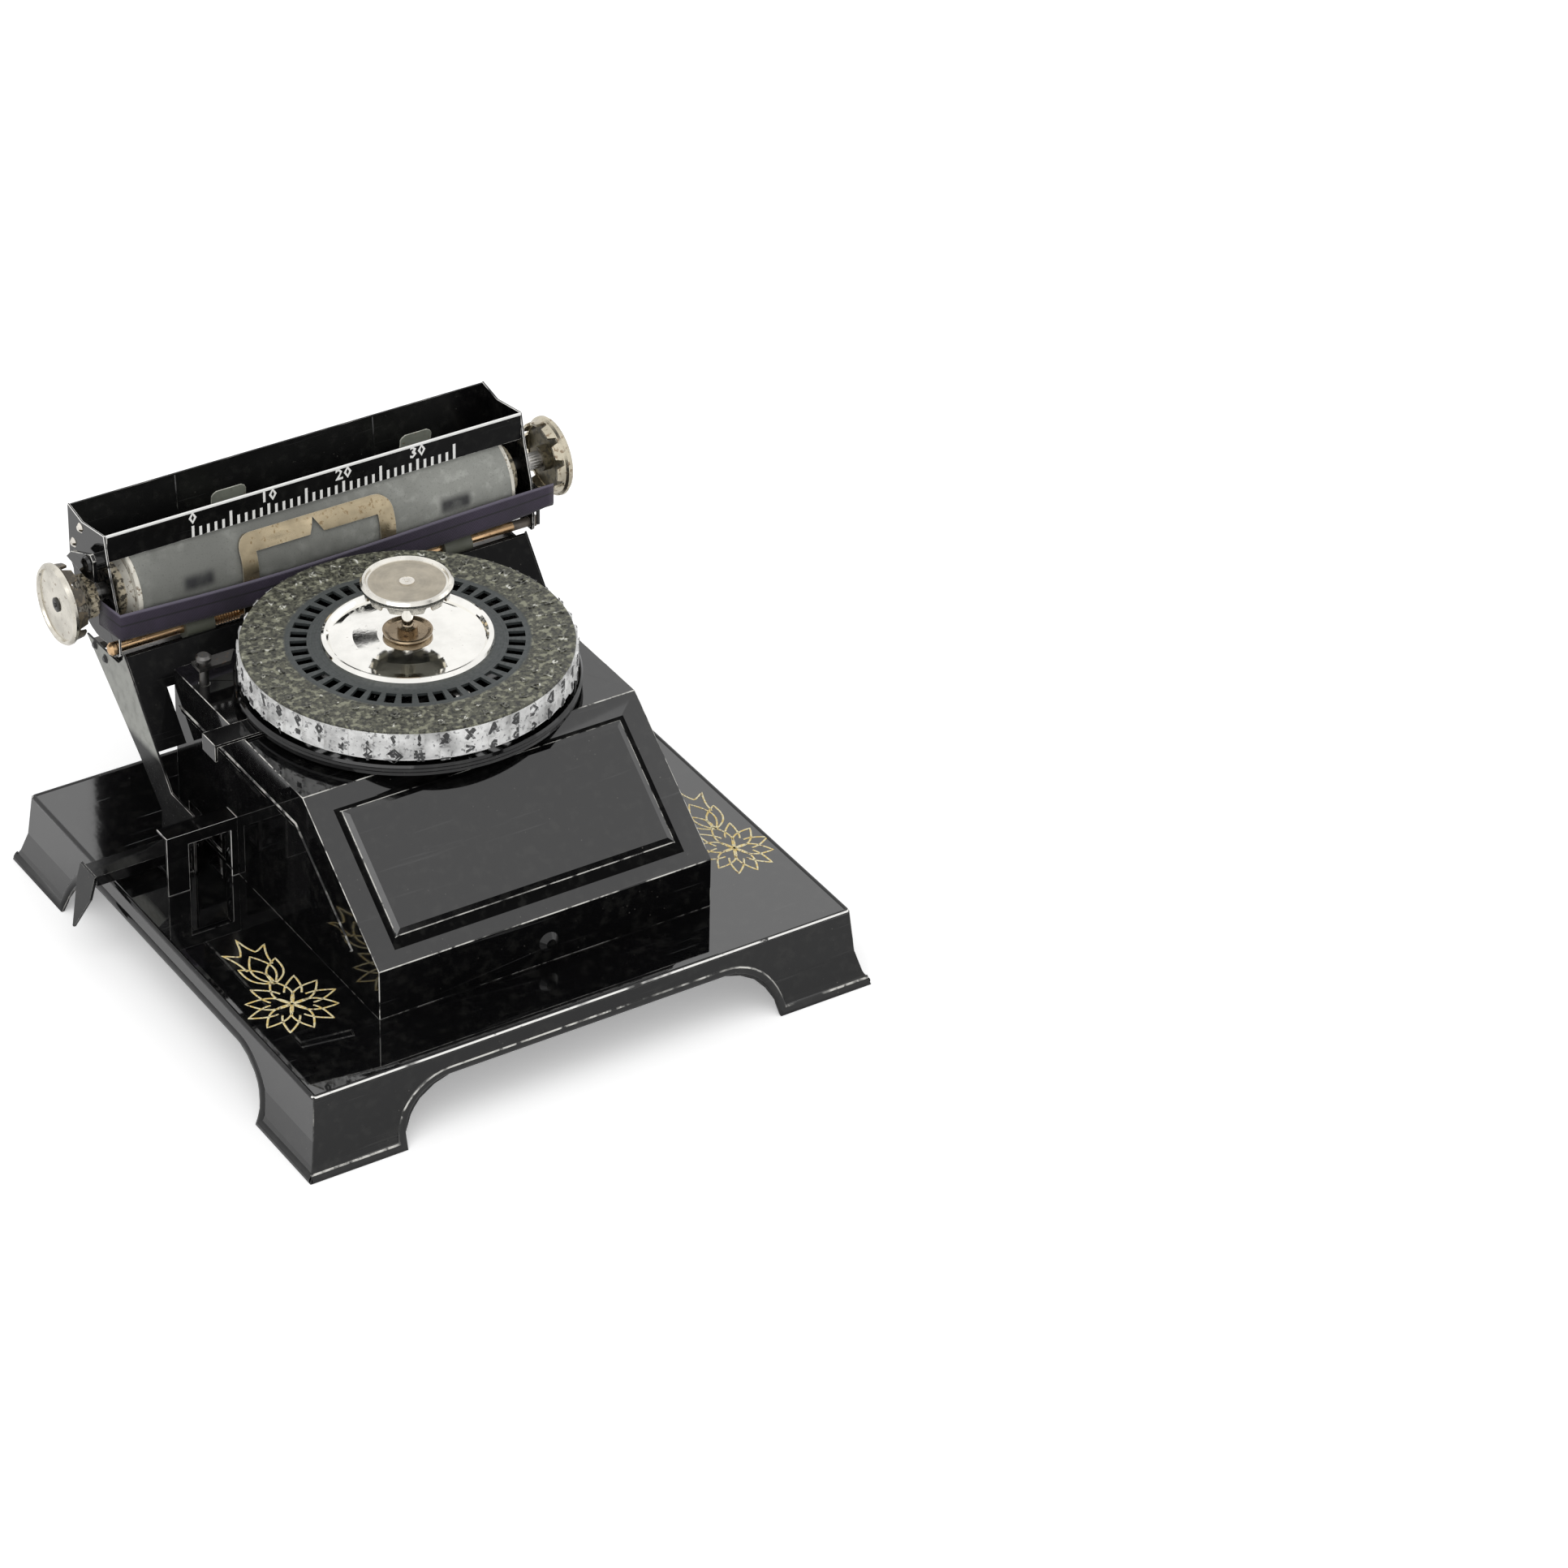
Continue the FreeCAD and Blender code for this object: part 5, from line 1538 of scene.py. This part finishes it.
@dataclass
class TypeWheel:
    """Characters of the index disc and the types' faces.

    Attributes:
        centre: (X, Y) of the wheel's axis.
        upper: characters of the disc's outer row and the band's upper row.
        lower: characters of the other two rows.
        index_rows: radius and height of the disc's outer and inner row.
        index_depth: how far its characters stand up.
        type_rises: height above the band's foot of its lower and upper row.
        type_height: height of a type's face.
        type_depth: how far it stands out.
        type_bold: how far its outline is pushed out, as a share of the letter size.
    """

    centre: tuple = (0.0, 17.0)
    upper: str = "ABCDEFGHIJKLMNOPQRSTUVWXYZ1234567890.,?!&%"
    lower: str = "abcdefghijklmnopqrstuvwxyz-/()+=:;\"'*$@#_<"
    index_rows: tuple = ((50.9, 3.1), (45.2, 2.9))
    index_depth: float = 0.34
    type_rises: tuple = (3.1, 8.6)
    type_height: float = 3.7
    type_depth: float = 0.14
    type_bold: float = 0.05

    def round_row(self, shapes: list, height: float, stand: Matrix) -> list:
        """Set shapes evenly round the wheel's axis, from the front to the right.

        Args:
            shapes: the points and faces of each.
            height: the row's height above the desk.
            stand: how a shape stands at the front, as seen from the axis.

        Returns:
            The shapes in their places.
        """
        middle, step = Matrix.Translation((*self.centre, height)), ROUND / len(shapes)
        return [placed(shape, middle @ Matrix.Rotation(k * step, 4, "Z") @ stand)
                for k, shape in enumerate(shapes)]

    def index_characters(self) -> None:
        """Raise two rows of characters on the disc, each with its head towards the axis."""
        top = node_box("index_disc")[1][2]
        parts = []
        for row, (radius, height) in zip((self.upper, self.lower), self.index_rows):
            shapes = [glyph(character, height, self.index_depth) for character in row]
            parts += self.round_row(shapes, top - SKIN, Matrix.Translation((0, -radius, 0)))
        mesh_object("index_characters", joined(parts), RAISED, Unit.TYPE_WHEEL, smooth=False)

    def type_faces(self) -> None:
        """Raise the types' own faces on the band, mirrored as they are for printing."""
        low, high = node_box("type_band")
        mirrored = Matrix(((-1, 0, 0), (0, 0, -1), (0, 1, 0))).to_4x4()
        stand = Matrix.Translation((0, SKIN - (high[1] - low[1]) / 2.0, 0)) @ mirrored
        parts = []
        for row, rise in zip((self.lower, self.upper), self.type_rises):
            shapes = [glyph(sign, self.type_height, self.type_depth, self.type_bold) for sign in row]
            parts += self.round_row(shapes, low[2] + rise, stand)
        mesh_object("type_faces", joined(parts), INKED_TYPE, Unit.TYPE_WHEEL, smooth=False)

    def build(self) -> None:
        """Build the wheel's pieces."""
        self.index_characters()
        self.type_faces()


@dataclass
class Carriage:
    """Marks of the scale bar, the back sheet's seams, the platen's end rings and the ink ribbon.

    Attributes:
        first: X of the scale's zero, in millimetres.
        pitch: the scale's letter pitch.
        count: its marks.
        mark: half a mark's width, and how far it starts above the bar's lower edge.
        heights: height of a plain mark, of one at every fifth and of one at every tenth.
        figure: height of a figure, its pitch, and how far its middle lies under the bar's upper edge.
        paint: how thick the paint stands on the bar.
        width: the ribbon's width.
        sag: how far the ribbon hangs in its middle.
        cloth: the ribbon's thickness.
        seams: X of the back sheet's upright seams.
        seam_ends: Z of their lower and upper ends.
        slant: how far the sheet leans back between them.
        seam: radius of a seam's bead.
        wall: the back sheet's thickness.
        ring_steps: corners of a ring at the platen's ends.
    """

    first: float = -42.3
    pitch: float = 2.83
    count: int = 36
    mark: tuple = (0.50, 0.15)
    heights: tuple = (3.4, 5.8, 4.3)
    figure: tuple = (4.1, 3.2, 2.5)
    paint: float = 0.03
    width: float = 10.0
    sag: float = 2.3
    cloth: float = 0.12
    seams: tuple = (-35.3, 39.8)
    seam_ends: tuple = (106.0, 126.6)
    slant: float = 1.95
    seam: float = 0.26
    wall: float = 0.72
    ring_steps: int = 120

    def scale_marks(self) -> None:
        """Paint the scale: a mark for each letter, a long one at every fifth, figures at every tenth, and a
        white line along the bar's top edge, a painted highlight.
        """
        low, high = node_box("ruler_bar")
        face, sunk = low[1] - self.paint, low[1] + SKIN
        half_width, foot = self.mark[0], low[2] + self.mark[1]
        number = np.arange(self.count)
        x = self.first + self.pitch * number
        plain, fifth, tenth = self.heights
        tall = np.select([number % 10 == 0, number % 5 == 0], [tenth, fifth], plain)
        start = np.stack([x - half_width, np.full_like(x, face), np.full_like(x, foot)], axis=1)
        end = np.stack([x + half_width, np.full_like(x, sunk), foot + tall], axis=1)
        # Painted highlight: a white line along the bar's top edge.
        lit_top_edge = blocks([low[0], face, high[2] - 0.6], [high[0], high[1], high[2] + self.paint])
        parts = [blocks(start, end), lit_top_edge]
        upright = Matrix(((1, 0, 0), (0, 0, -1), (0, 1, 0))).to_4x4()
        height, step, drop = self.figure
        for tens in range(0, self.count, 10):
            text = str(tens)
            for k, figure in enumerate(text):
                shift = (k - (len(text) - 1) / 2.0) * step
                spot = (self.first + self.pitch * tens + shift, sunk, high[2] - drop)
                parts.append(placed(glyph(figure, height, 2.0 * self.paint),
                                    Matrix.Translation(spot) @ upright))
        mesh_object("scale_marks", joined(parts), WHITE_PAINT, Unit.CARRIAGE, smooth=False)

    def wall_seams(self) -> None:
        """Raise the two upright seams on the back sheet's inner face, which leans back by the slant."""
        wall = node_box("carriage_back")[1][1] - self.wall
        low, high = self.seam_ends
        parts = [tube(np.array([(x, wall - self.slant, low), (x, wall, high)]), self.seam, 6)
                 for x in self.seams]
        # The seams take the thin edge finish: painted highlight lines with wear.
        mesh_object("wall_seams", joined(parts), SMALL_EDGE, Unit.CARRIAGE)

    def cap_rings(self) -> None:
        """Turn the bright ring and the dirty collar behind it at each end of the platen.

        The closed profile of (place past the rubber's end, radius) is carried round the platen's axis:
        y = r cos a, z = r sin a about the axis. The collar is what lies between its points 4 and 8.
        """
        low, high = node_box("platen_rubber")
        centre = (low + high) / 2.0
        rim = (high[2] - low[2]) / 2.0
        profile = np.array([(0.05, rim - 0.7), (0.05, rim - 0.1), (1.2, rim - 0.1), (1.5, rim - 0.5),
                            (1.5, 12.3), (1.7, 9.6), (5.4, 9.2), (5.8, 8.7), (5.8, 6.6), (5.0, 6.6)])
        past, radius = profile.T
        angle = np.linspace(0.0, ROUND, self.ring_steps, endpoint=False)[:, None]
        faces = grid_faces(self.ring_steps, len(profile), True, True)
        parts = []
        for end, sign in ((high[0], 1.0), (low[0], -1.0)):
            x = np.broadcast_to(end + sign * past, (self.ring_steps, len(profile)))
            y, z = centre[1] + radius * np.cos(angle), centre[2] + radius * np.sin(angle)
            points = np.stack([x, y, z], axis=-1).reshape(-1, 3)
            parts.append((points, faces if sign > 0.0 else faces[:, ::-1]))
        collar = np.isin(np.arange(len(profile)), (4, 5, 6, 7))
        ring = mesh_object("platen_cap_rings", joined(parts), CAP_METAL, Unit.PLATEN,
                           second=DIRTY_CAP, where=np.tile(collar, 2 * self.ring_steps))
        ring.data.set_sharp_from_angle(angle=math.radians(30.0))

    def ribbon(self) -> None:
        """Stretch the ribbon between its clips: a strip of even width that hangs between its ends.

        At the share s of its length the upper edge lies at high - 0.3 s - sag sin^2(pi s^0.8), and the strip
        goes down from there. It leans forward by 0.25 sin(6 pi s) sin(pi s) (1 - v) at the share v of its
        width. Over the last eighth of its length it is gathered by a fifth.
        """
        low, high = node_box("ink_ribbon")
        rows, columns = 9, 72
        x = np.concatenate([[low[0], low[0] + 0.8], np.linspace(low[0] + 1.8, high[0], columns)])
        y = np.concatenate([[high[1], (high[1] + low[1]) / 2.0], np.full(columns, low[1] + 0.1)])
        run = np.concatenate([[0.0], np.cumsum(np.hypot(np.diff(x), np.diff(y)))])
        share = run / run[-1]
        v = np.linspace(0.0, 1.0, rows)[:, None]
        top = high[2] - 0.3 * share - self.sag * np.sin(math.pi * share ** 0.8) ** 2
        gather = 1.0 - 0.2 * np.clip((share - 0.875) / 0.125, 0.0, 1.0) ** 2
        z = top - self.width * gather * (1.0 - v)
        lean = -0.25 * np.sin(6.0 * math.pi * share) * (1.0 - v) * np.sin(math.pi * share)
        points = np.stack([np.broadcast_to(x, z.shape), y + lean, z], axis=-1).reshape(-1, 3)
        piece = mesh_object("ribbon_cloth", (points, grid_faces(rows, len(x))), CLOTH, Unit.CARRIAGE)
        corners = np.empty(len(piece.data.loops), dtype=np.int64)
        piece.data.loops.foreach_get("vertex_index", corners)
        flat = np.stack([np.broadcast_to(run, z.shape), np.broadcast_to(v * self.width, z.shape)], axis=-1)
        uv = piece.data.uv_layers.new(name="cloth")
        uv.data.foreach_set("uv", (flat.reshape(-1, 2) * MM)[corners].ravel())
        wall = piece.modifiers.new("cloth", "SOLIDIFY")
        wall.thickness = self.cloth * MM
        wall.offset = 0.0
        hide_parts("ink_ribbon")

    def build(self) -> None:
        """Build the carriage's pieces."""
        self.scale_marks()
        self.wall_seams()
        self.cap_rings()
        self.ribbon()


@dataclass
class Springs:
    """Coil springs that stand for the plain solids of the model.

    Attributes:
        turns: turns of each spring.
        sides: corners of the wire's section.
    """

    turns: float = 9.0
    sides: int = 7

    def wound(self, node: str, axis: Axis, wire: float, inset: float, gap: float) -> tuple:
        """Wind a coil in a node's place: (R cos a, R sin a, length a / (2 pi turns)) along the axis.

        Args:
            node: the node.
            axis: the coil's axis.
            wire: the wire's radius, in millimetres.
            inset: how far the wire's middle lies inside the node.
            gap: how far it starts and ends inside the node along the axis.

        Returns:
            The points and the faces.
        """
        low, high = node_box(node)
        across = (axis + 1) % 3
        radius = (high[across] - low[across]) / 2.0 - inset
        length = high[axis] - low[axis] - 2.0 * gap
        angle = np.linspace(0.0, ROUND * self.turns, int(self.turns * 20))
        helix = np.stack([radius * np.cos(angle), radius * np.sin(angle),
                          length * angle / angle[-1]], axis=1)
        start = (low + high) / 2.0
        start[axis] = low[axis] + gap
        return tube(np.roll(helix, axis + 1, axis=1) + start, wire, self.sides)

    def build(self) -> None:
        """Wind the springs."""
        coil = self.wound("lever_spring", Axis.Z, 0.38, 0.4, 0.4)
        piece = mesh_object("lever_coil", coil, STEEL, Unit.PRINT_LEVER)
        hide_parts("lever_spring")
        coil = self.wound("feed_spring", Axis.X, 0.3, 0.32, 0.3)
        piece = mesh_object("feed_coil", coil, COPPER, Unit.FEED_ROLLER)
        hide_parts("feed_spring")


def main() -> None:
    """Build the stage and the machine in order."""
    for part in (Studio(), CadDress(), Base(), NamePanel(), TypeWheel(), Carriage(), Springs()):
        part.build()
        LOG.info("%s is built", type(part).__name__)


if __name__ == "__main__":
    main()
